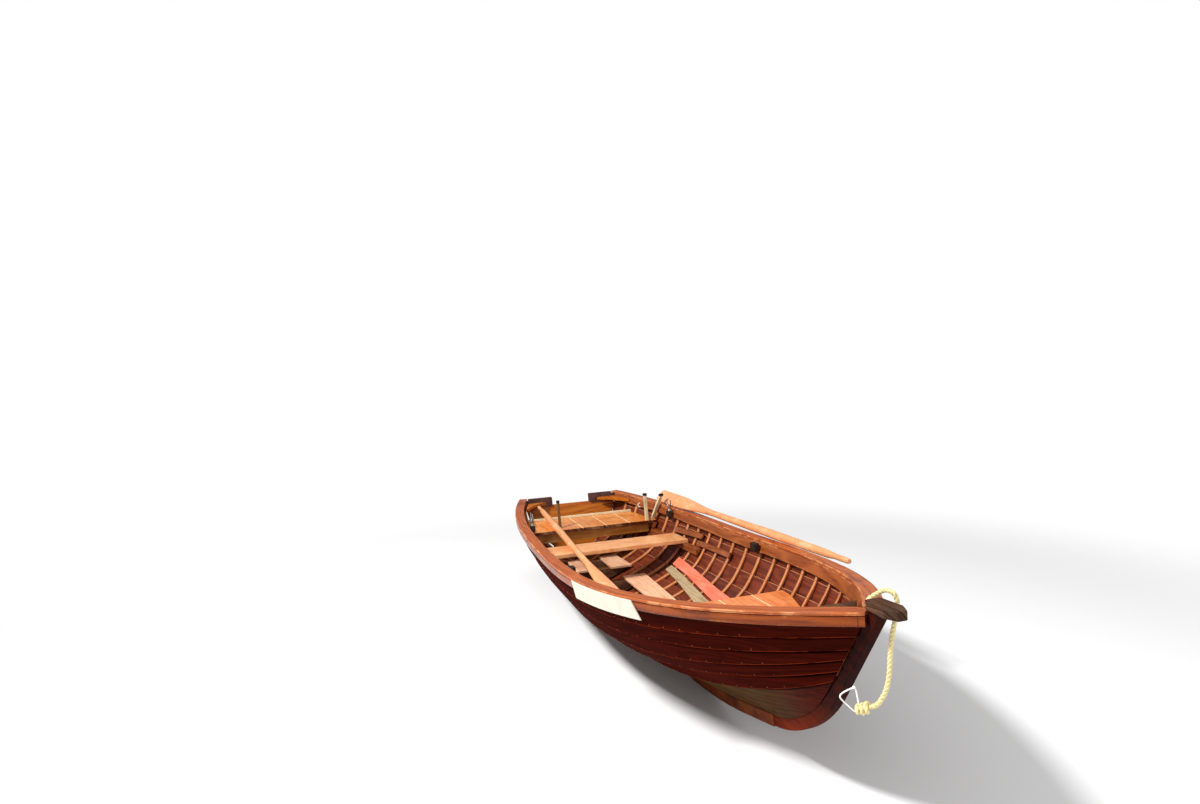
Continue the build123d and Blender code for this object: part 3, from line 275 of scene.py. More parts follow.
@dataclass(frozen=True)
class Wood:
    """A wood finish.

    Attributes:
        name: Name of the material.
        dark: Colour of the dark grain.
        mid: Main colour.
        light: Colour of the pale grain.
        worn_and_highlight: Colour of rubbed edges and scratches, and on the planking also of the painted
            highlight along the laps.
        stain_and_shade: Colour of the stains and joint lines, and on the planking also of the painted shade
            under the laps.
        stained: How much of the surface is stained, from zero to one.
        wear: How far the rubbing reaches, from zero to one.
        roughness: Mean roughness.
        coat: Strength of the varnish.
        figure: Number of grain bands across a metre.
        gloss: Level of the bare wood's reflection.
        tints: Places where the wood has another colour.
        joints: Distance in metres between the scarf joints, or zero for none.
    """

    name: str
    dark: str
    mid: str
    light: str
    worn_and_highlight: str
    stain_and_shade: str = "#1a0c06"
    stained: float = 0.25
    wear: float = 0.35
    roughness: float = 0.42
    coat: float = 0.35
    figure: float = 26.0
    gloss: float = 0.3
    tints: tuple[Tint, ...] = ()
    joints: float = 0.0

    # Strengths of the bands, the fine grain, the dark grain, the pores and the board's own shade
    BANDS, FINE, DARK_GRAIN, PORES, OWN_SHADE = 0.55, 0.45, 0.75, 0.28, 0.34
    # Strengths of dirt, rubbed spots, scuffs, the painted shade under laps and the dark line of a joint
    DIRT, WORN, SCUFFS, GRIME, JOINT = 0.7, 0.85, 0.30, 0.94, 0.8
    # Shares of the distance between joints where a joint's line starts and ends
    JOINT_START, JOINT_END = (0.4985, 0.4992), (0.5002, 0.5009)
    # Height of the relief in metres
    RELIEF = 0.0008

    def material(self, grain: Grain = Grain.UV, board: float = 0.0) -> bpy.types.Material:
        """Builds the finish for one direction of grain.

        Args:
            grain: Which way the grain runs.
            board: Width in metres of the boards that lie side by side, or zero for one board.

        Returns:
            The material.
        """
        g = Graph(f"{self.name} {grain.name.lower()} {board:g}")
        along, across, piece, rubbed = self._coordinates(g, grain, board)
        at = g.combine(along + piece * 13.7, across + piece * 3.1, piece * 7.3)
        bands, fine, pores = self._figure(g, along, across, piece)
        blotch = g.noise(at, 3.1, 4.0, 0.6)
        color = self._grain_color(g, bands, fine, pores, piece)
        # Painted shade where the rubbing is below zero: under the planking's laps and on their lower edges
        dirt_and_lap_shade = (0.0 - rubbed).between(0.0, 0.9)
        rubbed = rubbed.math("MAXIMUM", rubbed, 0.0)
        dirt = blotch.between(0.66 - 0.3 * self.stained, 0.86 - 0.2 * self.stained)
        color = g.mix(dirt * self.DIRT, color, linear(self.stain_and_shade))
        streaks = g.combine(along * 5.0, across * 70.0, piece * 3.0)
        scuffs = g.noise(streaks, 1.0, 5.0, 0.7).between(0.60, 0.74)
        patches = g.noise(at, 9.0, 5.0, 0.7)
        spots = patches.between(0.62 - 0.5 * self.wear, 0.78 - 0.5 * self.wear)
        bare = rubbed * spots * self.WORN + scuffs * self.SCUFFS * self.wear
        # Rubbed edges and scratches; on the planking's lap edges this is also a painted highlight
        color = g.mix(bare, color, linear(self.worn_and_highlight))
        if self.joints:
            turn = (along / self.joints).fraction()
            line = turn.between(*self.JOINT_START) * (1.0 - turn.between(*self.JOINT_END)) * self.JOINT
            color = g.mix(line, color, linear(self.stain_and_shade))
        # Painted shade under the laps, in the stain colour
        color = g.mix(dirt_and_lap_shade * self.GRIME, color, linear(self.stain_and_shade))
        rough = patches.between(0.3, 0.75, self.roughness * 0.8, self.roughness * 1.3) + (bare + dirt_and_lap_shade) * 0.2
        height = fine * 0.5 + bands * 0.25 + patches * 0.25 - pores * 0.4
        coat = (1.0 - bare) * (1.0 - dirt_and_lap_shade) * self.coat
        return g.finish(color, rough, height, self.RELIEF, 0.0, coat, self.gloss)

    def _figure(self, g: Graph, along: Signal, across: Signal,
                piece: Signal) -> tuple[Signal, Signal, Signal]:
        """The wood's pattern.

        Args:
            g: The graph.
            along: Distance along the grain.
            across: Distance across the grain.
            piece: The board's number from zero to one.

        Returns:
            Broad bands, fine grain and pores, each from zero to one.
        """
        sway = g.noise(g.combine(along * 0.9 + piece * 5.0, across * 6.0, piece * 3.0), 1.0, 2.0)
        bands = ((across * self.figure + sway * 9.0 + piece * 4.0) * TURN).sine() * 0.5 + 0.5
        fine = g.noise(g.combine(along * 7.0 + piece * 11.0, across * 260.0, piece), 1.0, 4.0, 0.62)
        pores = g.noise(g.combine(along * 28.0, across * 620.0, piece * 2.0), 1.0, 2.0).between(0.56, 0.72)
        return bands, fine, pores

    def _grain_color(self, g: Graph, bands: Signal, fine: Signal, pores: Signal, piece: Signal) -> Signal:
        """Colour of the grain with the tints, before wear and dirt.

        Args:
            g: The graph.
            bands: Broad bands.
            fine: Fine grain.
            pores: Pores.
            piece: The board's number from zero to one.

        Returns:
            The colour.
        """
        dark = linear(self.dark)
        color = g.mix(bands * self.BANDS + fine * self.FINE, linear(self.mid), linear(self.light))
        color = g.mix((1.0 - bands) * fine.between(0.42, 0.68) * self.DARK_GRAIN, color, dark)
        color = g.mix(pores * self.PORES, color, dark)
        color = g.mix((piece * 91.7).fraction() * self.OWN_SHADE, color, dark)
        for tint in self.tints:
            reach = g.place()[tint.axis].between(tint.start, tint.end)
            shade = g.mix(fine.between(0.35, 0.65), linear(tint.dark), linear(tint.light))
            color = g.mix(reach, color, shade)
        return color

    @staticmethod
    def _coordinates(g: Graph, grain: Grain, board: float) -> tuple[Signal, Signal, Signal, Signal | float]:
        """Distances along and across the grain, the board's own number and how rubbed the spot is.

        Args:
            g: The graph.
            grain: Which way the grain runs.
            board: Width in metres of boards that lie side by side.

        Returns:
            Along, across, the board's number from zero to one, and the rubbing from zero to one, which on
            the planking's lap edges is partly a painted highlight; below zero it is painted shade under the
            laps.
        """
        if grain is Grain.UV:
            along, across = g.uv()
            return along, across, g.attribute("board"), g.attribute("wear")
        x, y, z = g.place()
        along, across, other = (x, y, z) if grain is Grain.FORE_AFT else (y, x, z)
        number = (across / board + 0.5).floor() if board else other * 0.0
        piece = (number * 0.618 + 0.37).fraction()
        return along, across + other * 0.8, piece, 0.12 + g.noise(g.combine(x, y, z), 5.0, 3.0) * 0.2


class Finishes:
    """All materials of the boat."""

    # The planks' rubbed lap edges are partly a painted highlight, and the stain colour also paints the shade
    # under the laps
    PLANK = Wood("dark varnished plank", "#200502", "#390a04", "#4c1107", "#8c3216", stain_and_shade="#050101",
                 stained=0.12, wear=0.5, roughness=0.4, coat=0.02, gloss=0.0)
    PLANK_INSIDE = Wood("inside plank", "#34100a", "#602414", "#7e3820", "#cc8a62", stained=0.2, wear=0.62,
                        roughness=0.42, coat=0.12, gloss=0.2)
    # Its olive colour aft is partly a painted green sheen; towards the stem it fades to red-brown
    GARBOARD = Wood("worn garboard", "#1a0e04", "#42280b", "#5a390f", "#86642e", stain_and_shade="#0a0402",
                    stained=0.4, wear=0.35, roughness=0.5, coat=0.01, gloss=0.02,
                    tints=(Tint("#2c0804", "#54160a", 0, 1.46, 1.8),))
    KEEL = Wood("keel timber", "#380f05", "#6c270a", "#883c10", "#a0683c", stained=0.35, wear=0.35,
                roughness=0.5, coat=0.02, gloss=0.04)
    STEM = Wood("stem", "#100302", "#220604", "#320b06", "#5c2616", stain_and_shade="#060202", stained=0.25, wear=0.3,
                roughness=0.5, coat=0.02, gloss=0.02,
                tints=(Tint("#480f05", "#7c2a0c", 2, 0.44, 0.2),
                       Tint("#2e1c14", "#664c3c", 2, 0.864, 0.874)))
    SHOULDER = Wood("transom shoulder", "#1e0a08", "#3e1a14", "#5a2c22", "#8a5c4c", stained=0.3, wear=0.4,
                    roughness=0.5, coat=0.1, gloss=0.2)
    HOOK = Wood("breasthook", "#2a160e", "#4a2c1e", "#62402c", "#8a664e", stained=0.35, wear=0.4,
                roughness=0.6, coat=0.0, gloss=0.06)
    INSIDE = Wood("inside timber", "#2c160c", "#57301c", "#744428", "#a07c58", stained=0.4, wear=0.35,
                  roughness=0.6, coat=0.05, gloss=0.2)
    TRANSOM = Wood("transom", "#7a3206", "#c26414", "#d88024", "#d8a070", stained=0.15, wear=0.2,
                   roughness=0.4, coat=0.1, gloss=0.1)
    GUNWALE = Wood("gunwale cap", "#64260c", "#a64c1c", "#c4682e", "#d09060", stained=0.3, wear=0.34,
                   roughness=0.38, coat=0.18, gloss=0.14, joints=1.46)
    OUTWALE = Wood("outwale", "#2c0d02", "#7e3207", "#a44c0e", "#b46c32", stained=0.5, wear=0.14,
                   roughness=0.26, coat=0.22, gloss=0.1, joints=1.81)
    INWALE = Wood("inwale", "#481a08", "#8c421a", "#a65a28", "#bc7c54", stained=0.3, wear=0.3,
                  roughness=0.36, coat=0.3, gloss=0.22)
    RIB = Wood("bent rib", "#8a4420", "#c9743e", "#de945c", "#e8b48c", stained=0.15, wear=0.3,
               roughness=0.38, coat=0.3, figure=60.0)
    STERN_SEAT = Wood("stern seat", "#a84c0c", "#e2822a", "#f09a44", "#ffc88c", stained=0.1, wear=0.3,
                      roughness=0.3, coat=0.4, tints=(Tint("#2e0c06", "#54200e", 0, -1.3972, -1.3962),))
    SEAT_BEAM = Wood("seat beam", "#6e3a0c", "#b87426", "#cc8a38", "#dcb080", stained=0.25, wear=0.3,
                     roughness=0.4, coat=0.2)
    THWART = Wood("thwart", "#b4642a", "#eaa264", "#f4b880", "#ffd8ac", stained=0.1, wear=0.35,
                  roughness=0.34, coat=0.3)
    BOW_SEAT = Wood("bow seat", "#b04e1c", "#ea7e3e", "#f09656", "#ffc090", stained=0.08, wear=0.3,
                    roughness=0.3, coat=0.4)
    FLOOR = Wood("floorboard", "#b4744a", "#e6a87c", "#f2be98", "#f6d8bc", stained=0.25, wear=0.5,
                 roughness=0.65, coat=0.0)
    BARE = Wood("bare grey plank", "#6c583c", "#a68c64", "#bca27c", "#ccb892", stained=0.3, wear=0.5,
                roughness=0.8, coat=0.0)
    RED = Wood("red painted plank", "#d0503a", "#f27658", "#fa8868", "#f2ac94", stained=0.08, wear=0.25,
               roughness=0.55, coat=0.0)
    OAR = Wood("oar", "#b4622c", "#e89a62", "#f0ac78", "#f8cca4", stained=0.12, wear=0.3, roughness=0.38,
               coat=0.3, figure=70.0)
    PALE = Wood("pale post", "#ac9464", "#dcc8a0", "#ead8b4", "#f4ead0", stained=0.15, wear=0.4,
                roughness=0.7, coat=0.0, figure=90.0)
    STAKE = Wood("brown post", "#2c1a0c", "#5c4020", "#785830", "#9c8058", stained=0.3, wear=0.3,
                 roughness=0.6, coat=0.0, figure=90.0)

    @staticmethod
    def painted(name: str, color: str, chipped: str, roughness: float = 0.45) -> bpy.types.Material:
        """Paint with scuffs, dirt and a slightly uneven surface.

        Args:
            name: Name of the material.
            color: Colour of the paint.
            chipped: Colour where it is rubbed through.
            roughness: Mean roughness.

        Returns:
            The material.
        """
        g = Graph(name)
        at = g.node("TexCoord", None, None, "Object")
        cloud, speck = g.noise(at, 14.0, 4.0, 0.6), g.noise(at, 160.0, 3.0, 0.6)
        base = g.mix(cloud.between(0.35, 0.7) * 0.18, linear(color), linear(chipped))
        base = g.mix(speck.between(0.68, 0.78) * 0.5, base, linear(chipped))
        rough = cloud.between(0.3, 0.7, roughness * 0.8, roughness * 1.25)
        return g.finish(base, rough, speck + cloud, 0.0003)

    @staticmethod
    def metal(name: str, color: str, tarnish: str, roughness: float) -> bpy.types.Material:
        """Metal with patches of tarnish.

        Args:
            name: Name of the material.
            color: Colour of the clean metal.
            tarnish: Colour of the tarnish.
            roughness: Roughness of the clean metal.

        Returns:
            The material.
        """
        g = Graph(name)
        at = g.node("TexCoord", None, None, "Object")
        cloud, speck = g.noise(at, 60.0, 4.0, 0.65), g.noise(at, 420.0, 3.0, 0.6)
        stained = cloud.between(0.42, 0.66)
        base = g.mix(stained * 0.75, linear(color), linear(tarnish))
        base = g.mix(speck.between(0.6, 0.75) * 0.4, base, linear(tarnish))
        return g.finish(base, stained * 0.25 + roughness, speck * 0.5 + cloud * 0.5, 0.0003, 0.85)

    @staticmethod
    def fibre(name: str, color: str, shade: str) -> bpy.types.Material:
        """Strands of fibre that run along the piece's own map.

        Args:
            name: Name of the material.
            color: Colour of the fibre.
            shade: Colour of the painted shade between the yarns, and of the dirt.

        Returns:
            The material.
        """
        g = Graph(name)
        along, across = g.uv()
        strand = g.attribute("board")
        yarn = (across * 1400.0 + along * 260.0 + strand * 3.0).sine() * 0.5 + 0.5
        fuzz = g.noise(g.combine(along * 90.0, across * 900.0, strand * 5.0), 1.0, 4.0, 0.7)
        # Patches of dirt on the rope
        dirt_and_lap_shade = g.noise(g.node("TexCoord", None, None, "Object"), 12.0, 3.0, 0.6)
        # Painted shade between the yarns, with fuzz
        base = g.mix((1.0 - yarn) * 0.55 + fuzz * 0.25, linear(color), linear(shade))
        base = g.mix(dirt_and_lap_shade.between(0.5, 0.75) * 0.35, base, linear(shade))
        return g.finish(base, 0.9, yarn * 0.6 + fuzz * 0.4, 0.0006)


# Meshes


class MeshBuilder:
    """Collects surfaces of one piece as whole arrays."""

    # Scale of the map on a tube's flat ends
    END_MAP = 0.3

    def __init__(self) -> None:
        """Starts with nothing."""
        self.points: list[np.ndarray] = []
        self.wear: list[np.ndarray] = []
        self.board: list[np.ndarray] = []
        self.faces: list[list[int]] = []
        self.uvs: list[tuple[float, float]] = []
        self.slots: list[int] = []
        self.count = 0

    def add(self, points: np.ndarray, faces: list, uvs: np.ndarray, wear: np.ndarray | float = 0.0,
            board: float = 0.0, slot: int = 0) -> None:
        """Adds points and the faces between them.

        Args:
            points: Array of points, one row each.
            faces: Rows of point numbers.
            uvs: One pair for each corner of each face, in the faces' order.
            wear: How rubbed each point is; below zero for painted shade.
            board: Number from zero to one that sets this board apart.
            slot: Material slot of the faces.
        """
        base = self.count
        self.points.append(points)
        self.wear.append(np.broadcast_to(wear, len(points)).astype(float))
        self.board.append(np.full(len(points), board))
        self.faces += [[base + k for k in face] for face in faces]
        self.uvs += [tuple(uv) for uv in uvs]
        self.slots += [slot] * len(faces)
        self.count += len(points)

    def tube(self, rings: np.ndarray, wear: np.ndarray | float = 0.0, board: float = 0.0, slot: int = 0,
             caps: bool = True) -> None:
        """Adds a skin over rings of points.

        The map runs along the rings' middles and round each ring, both in metres:
        u = sum of |middle(k+1) - middle(k)|, v = sum of |point(j+1) - point(j)|.

        Args:
            rings: Array of sections by points by three coordinates.
            wear: How rubbed each point of a ring is; below zero for painted shade.
            board: Number that sets this board apart.
            slot: Material slot.
            caps: Whether both ends are closed.
        """
        sections, round_ = rings.shape[:2]
        middle = rings.mean(1)
        u = np.concatenate([[0.0], np.cumsum(np.linalg.norm(np.diff(middle, axis=0), axis=1))])
        step = np.linalg.norm(np.roll(rings, -1, 1) - rings, axis=2)
        v = np.concatenate([np.zeros((sections, 1)), np.cumsum(step, 1)], 1)
        i, j = np.meshgrid(np.arange(sections - 1), np.arange(round_), indexing="ij")
        i, j = i.ravel(), j.ravel()
        k = (j + 1) % round_
        faces = np.stack([i * round_ + j, i * round_ + k, (i + 1) * round_ + k, (i + 1) * round_ + j], 1)
        pairs = ((i, j), (i, j + 1), (i + 1, j + 1), (i + 1, j))
        uvs = np.stack([np.stack([u[a], v[a, b]], 1) for a, b in pairs], 1)
        rows, corners = faces.tolist(), uvs.reshape(-1, 2)
        if caps:
            for section, order in ((0, range(round_ - 1, -1, -1)), (sections - 1, range(round_))):
                order = list(order)
                rows.append([section * round_ + j for j in order])
                spread = rings[section][order] - middle[section]
                corners = np.concatenate([corners, spread[:, [2, 1]] * self.END_MAP + [u[section], 0.0]])
        rub = np.tile(np.broadcast_to(wear, round_), sections)
        self.add(rings.reshape(-1, 3), rows, corners, rub, board, slot)

    def bar(self, corners: np.ndarray, radius: float, shoulder: float, side: float = 1.0, rub: float = 1.0,
            board: float = 0.0, slot: int = 0) -> None:
        """Adds a bar with rounded edges.

        Args:
            corners: Its sections on the port side, in millimetres.
            radius: Rounding in metres.
            shoulder: How far down each side the rubbing fades out, in metres.
            side: One for port and minus one for starboard.
            rub: How rubbed its edges are.
            board: Number that sets this board apart.
            slot: Material slot.
        """
        rings, wear = rounded(corners * MM, radius, shoulder)
        self.tube(mirrored(rings, side), wear * rub, board, slot)

    def build(self, name: str, body: str, slot: str, materials: list[bpy.types.Material], *nodes: str,
              angle: float = 38.0) -> bpy.types.Object:
        """Makes the object, in place in the frame.

        Args:
            name: Name of the piece.
            body: Body that it rides on.
            slot: Material slot of the record. Not used.
            materials: Its materials.
            nodes: Nodes of the frame that it stands for.
            angle: Edges sharper than this many degrees stay sharp.

        Returns:
            The object.
        """
        mesh = bpy.data.meshes.new(name)
        points = np.concatenate(self.points)
        mesh.from_pydata(points.tolist(), [], self.faces)
        mesh.uv_layers.new(name="UVMap").data.foreach_set("uv", np.array(self.uvs, np.float32).ravel())
        mesh.polygons.foreach_set("material_index", np.array(self.slots, np.int32))
        # Below zero, the wear attribute holds the planking's painted shade
        for key, rows in (("wear", self.wear), ("board", self.board)):
            values = np.concatenate(rows).astype(np.float32)
            mesh.attributes.new(key, "FLOAT", "POINT").data.foreach_set("value", values)
        for material in materials:
            mesh.materials.append(material)
        mesh.shade_smooth()
        mesh.set_sharp_from_angle(angle=math.radians(angle))
        mesh.validate()
        mesh.update()
        piece = bpy.data.objects.new(name, mesh)
        bpy.context.scene.collection.objects.link(piece)
        if nodes:
            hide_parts(*nodes)
        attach(piece, body)
        LOG.info("%s: %d points, rides on %s", name, self.count, body)
        return piece


def mirrored(rings: np.ndarray, side: float) -> np.ndarray:
    """Port-side rings taken to a side, turned about so that their faces still point outwards."""
    if side > 0:
        return rings
    return (rings * np.array([1.0, -1.0, 1.0]))[:, ::-1]


def rounded(corners: np.ndarray, radius: float, shoulder: float = 0.006) -> tuple[np.ndarray, np.ndarray]:
    """Rounds the corners of every section.

    Each corner P becomes the arc (1-t)^2 A + 2t(1-t) P + t^2 B between its two sides, with one more
    point a shoulder's length down each side.

    Args:
        corners: Array of sections by corners by three coordinates.
        radius: Rounding in metres.
        shoulder: How far down each side the rubbing fades out.

    Returns:
        The rings, and how rubbed each point of a ring is.
    """
    before, after = np.roll(corners, 1, 1) - corners, np.roll(corners, -1, 1) - corners
    runs = [np.linalg.norm(v, axis=2, keepdims=True) for v in (before, after)]
    u, w = before / runs[0], after / runs[1]
    r = np.minimum(radius, np.minimum(runs[0], runs[1]) * 0.3)
    s = np.minimum(radius + shoulder, np.minimum(runs[0], runs[1]) * 0.45)
    a, b = corners + u * r, corners + w * r
    arc = [a * (1 - t) ** 2 + corners * 2 * t * (1 - t) + b * t * t for t in (0.0, 0.35, 0.65, 1.0)]
    rings = np.stack([corners + u * s, *arc, corners + w * s], 2).reshape(len(corners), -1, 3)
    return rings, np.tile([0.0, 1.0, 1.0, 1.0, 1.0, 0.0], corners.shape[1])


def frames(path: np.ndarray) -> tuple[np.ndarray, np.ndarray, np.ndarray]:
    """Tangents and two cross directions along a path, turned as little as possible.

    Args:
        path: Array of points.

    Returns:
        Tangents, first and second cross directions.
    """
    tangents = np.gradient(path, axis=0)
    tangents /= np.linalg.norm(tangents, axis=1, keepdims=True)
    normals = np.zeros_like(path)
    start = np.cross(tangents[0], [0.0, 0.0, 1.0])
    if np.linalg.norm(start) < 1e-3:
        start = np.array([0.0, 1.0, 0.0])
    normals[0] = start / np.linalg.norm(start)
    for k in range(1, len(path)):
        turned = normals[k - 1] - tangents[k] * (normals[k - 1] @ tangents[k])
        normals[k] = turned / np.linalg.norm(turned)
    return tangents, normals, np.cross(tangents, normals)


def round_rings(path: np.ndarray, radii: np.ndarray | float, sides: int = 12) -> np.ndarray:
    """Round sections along a path.

    p(k, a) = path(k) + r(k) (cos a N(k) + sin a B(k))

    Args:
        path: Array of points.
        radii: Radius at each point.
        sides: Points of a ring.

    Returns:
        Array of sections by points by three coordinates.
    """
    _, normal, binormal = frames(path)
    angle = np.linspace(0, 2 * np.pi, sides, endpoint=False)
    radii = np.broadcast_to(radii, len(path))[:, None, None]
    return path[:, None] + radii * (np.cos(angle)[None, :, None] * normal[:, None]
                                    + np.sin(angle)[None, :, None] * binormal[:, None])


def ball_rings(center: np.ndarray, radius: float, half_height: float, sides: int) -> np.ndarray:
    """Rings of an upright ball: r(t) = radius sqrt(1 - t^2) at the height t half_height, -1 <= t <= 1."""
    t = np.linspace(-1, 1, 9)
    return round_rings(center + np.outer(t * half_height, [0.0, 0.0, 1.0]),
                       np.sqrt(np.maximum(1 - t**2, 0.004)) * radius, sides)


def domes(builder: MeshBuilder, centers: np.ndarray, normals: np.ndarray, radius: float, height: float,
          sides: int = 8) -> None:
    """Adds a low dome at every centre.

    p(t, a) = c + r cos t (cos a U + sin a V) + h sin t N, from a foot below the surface up to the pole.

    Args:
        builder: Where the domes go.
        centers: Array of points on the surface.
        normals: Directions out of the surface.
        radius: Radius at the surface.
        height: Height of the pole.
        sides: Points round a dome.
    """
    normals = unit(normals)
    helper = np.where(np.abs(normals[:, :1]) < 0.9, [[1.0, 0.0, 0.0]], [[0.0, 1.0, 0.0]])
    across = unit(np.cross(normals, helper))
    over = np.cross(normals, across)
    angle = np.linspace(0, 2 * np.pi, sides, endpoint=False)[None, :, None]
    circle = np.cos(angle) * across[:, None] + np.sin(angle) * over[:, None]
    levels = ((radius, -0.6 * height), (radius, 0.0), (radius * math.cos(0.7), height * math.sin(0.7)))
    rings = [centers[:, None] + wide * circle + rise * normals[:, None] for wide, rise in levels]
    points = np.concatenate(rings + [(centers + height * normals)[:, None]], 1)
    j = np.arange(sides)
    k = (j + 1) % sides
    quads = np.concatenate([np.stack([j, k, k + sides, j + sides], 1) + ring * sides for ring in range(2)])
    tops = np.stack([j + 2 * sides, k + 2 * sides, np.full(sides, 3 * sides)], 1)
    shift = np.arange(len(centers))[:, None, None] * points.shape[1]
    faces = (quads + shift).reshape(-1, 4).tolist() + (tops + shift).reshape(-1, 3).tolist()
    faces += (j[::-1] + shift[:, 0]).tolist()
    builder.add(points.reshape(-1, 3), faces, np.zeros((sum(len(face) for face in faces), 2)))


# Hull


@dataclass(frozen=True)
class HullForm:
    """Side view of the keel and the plank lines of the port side, in millimetres.

    Attributes:
        length: From the transom's top to the stem head.
        rake: Lean of the transom in degrees.
        plank: Thickness of the planking.
        lap: Overlap of the strakes.
        seat: Gap between the strakes at a lap.
        keel_depth: Depth of the keel.
        stem_depth: Depth of the stem.
        landing: Half breadth where the planks end at the stem.
        rise_radius: Radius where the keel starts to rise.
        rise: Slope of the rising keel in degrees.
        foot_radius: Radius of the forefoot.
        stem_angle: Slope of the stem in degrees.
        fit: Gap between timbers.
        widest: Share of a line's length where it is widest.
        lowest: Share of a line's length where it is lowest.
        aft_fullness: How full the lines are aft, in plan.
        aft_rise: How fast the lines rise aft.
        rabbet: How far the garboard is let into the keel.
        rise_back: How far behind the stem head the keel starts to rise.
        foot_back: How far behind the stem head the forefoot starts.
    """

    length: float = 4500.0
    rake: float = 10.0
    plank: float = 10.0
    lap: float = 20.0
    seat: float = 1.2
    keel_depth: float = 52.0
    stem_depth: float = 48.0
    landing: float = 21.0
    rise_radius: float = 3200.0
    rise: float = 13.25
    foot_radius: float = 756.0
    stem_angle: float = 57.0
    fit: float = 0.4
    widest: float = 0.5
    lowest: float = 0.35
    aft_fullness: float = 2.95
    aft_rise: float = 2.0
    rabbet: float = 12.0
    rise_back: float = 1800.0
    foot_back: float = 800.0

    # Share of a line's length over which its direction is read
    STEP = 0.01

    # Half breadth and height at the transom and amidships, height at the stem, fullness in plan and
    # in height
    LINES = (
        (27.0, 62.0, 29.0, 54.0, 440.0, 3.0, 2.0),
        (200.0, 173.0, 337.0, 178.0, 554.0, 2.26, 3.67),
        (294.0, 253.0, 440.0, 230.0, 607.0, 2.5, 3.05),
        (367.0, 345.0, 530.0, 303.0, 665.0, 2.58, 2.9),
        (414.0, 442.0, 596.0, 389.0, 712.0, 2.74, 2.54),
        (439.0, 535.0, 653.0, 498.0, 773.0, 2.78, 2.65),
        (456.0, 624.0, 687.0, 607.5, 845.0, 2.75, 2.44),
    )

    def edges(self, inset: float) -> dict[str, tuple[float, float]]:
        """Points of the side view between its arcs, moved into the hull by an inset."""
        rise, rake = math.radians(self.rise), math.radians(self.stem_angle)
        start, foot = self.length / 2 - self.rise_back, self.length / 2 - self.foot_back
        straight = foot - start - self.rise_radius * math.sin(rise)
        foot_z = self.rise_radius * (1 - math.cos(rise)) + straight * math.tan(rise)
        center = (foot - self.foot_radius * math.sin(rise), foot_z + self.foot_radius * math.cos(rise))
        r1, r2 = self.rise_radius - inset, self.foot_radius - inset
        return {
            "keel": (start, inset),
            "rise": (start + r1 * math.sin(rise), self.rise_radius - r1 * math.cos(rise)),
            "foot": (center[0] + r2 * math.sin(rise), center[1] - r2 * math.cos(rise)),
            "stem": (center[0] + r2 * math.sin(rake), center[1] - r2 * math.cos(rake)),
            "center": center,
        }

    def stem_x(self, z: float, inset: float) -> float:
        """Distance forward of the stem's edge at a height."""
        points = self.edges(inset)
        if z >= points["stem"][1]:
            return points["stem"][0] + (z - points["stem"][1]) / math.tan(math.radians(self.stem_angle))
        radius = self.foot_radius - inset
        return points["center"][0] + math.sqrt(max(radius**2 - (points["center"][1] - z) ** 2, 0.0))

    def keel_z(self, x: np.ndarray, inset: float) -> np.ndarray:
        """Height of the keel's edge at distances from amidships."""
        points = self.edges(inset)
        r1, r2 = self.rise_radius - inset, self.foot_radius - inset
        arc = self.rise_radius - np.sqrt(np.maximum(r1**2 - (x - points["keel"][0]) ** 2, 0))
        straight = points["rise"][1] + (x - points["rise"][0]) * math.tan(math.radians(self.rise))
        foot = points["center"][1] - np.sqrt(np.maximum(r2**2 - (x - points["center"][0]) ** 2, 0))
        stem = points["stem"][1] + (x - points["stem"][0]) * math.tan(math.radians(self.stem_angle))
        before = [x <= points[name][0] for name in ("keel", "rise", "foot", "stem")]
        return np.select(before, [np.full_like(x, inset), arc, straight, foot], stem)

    def line(self, index: int, share: np.ndarray) -> np.ndarray:
        """A plank line.

        y falls from the middle as (distance from the widest point)^fullness towards both ends;
        z rises from the lowest point in the same way.

        Args:
            index: Number of the line from the keel up.
            share: Shares of its length from the transom.

        Returns:
            Points in millimetres.
        """
        ty, tz, my, mz, sz, plan, rise = self.LINES[index]
        start = -self.length / 2 + (self.LINES[-1][1] - tz) * math.tan(math.radians(self.rake))
        x = start + share * (self.stem_x(sz, self.stem_depth) - 4 * self.fit - start)
        fade_aft = np.maximum((self.widest - share) / self.widest, 0) ** self.aft_fullness
        fade_fore = np.maximum((share - self.widest) / (1 - self.widest), 0) ** plan
        y = my - (my - ty) * fade_aft - (my - self.landing) * fade_fore
        aft = np.maximum((self.lowest - share) / self.lowest, 0) ** self.aft_rise
        fore = np.maximum((share - self.lowest) / (1 - self.lowest), 0) ** rise
        if index == 0:
            z = self.keel_z(x, self.keel_depth) + self.fit + (tz - mz) * aft
        else:
            z = mz + (tz - mz) * aft + (sz - mz) * fore
        return np.stack([x, y, z], -1)

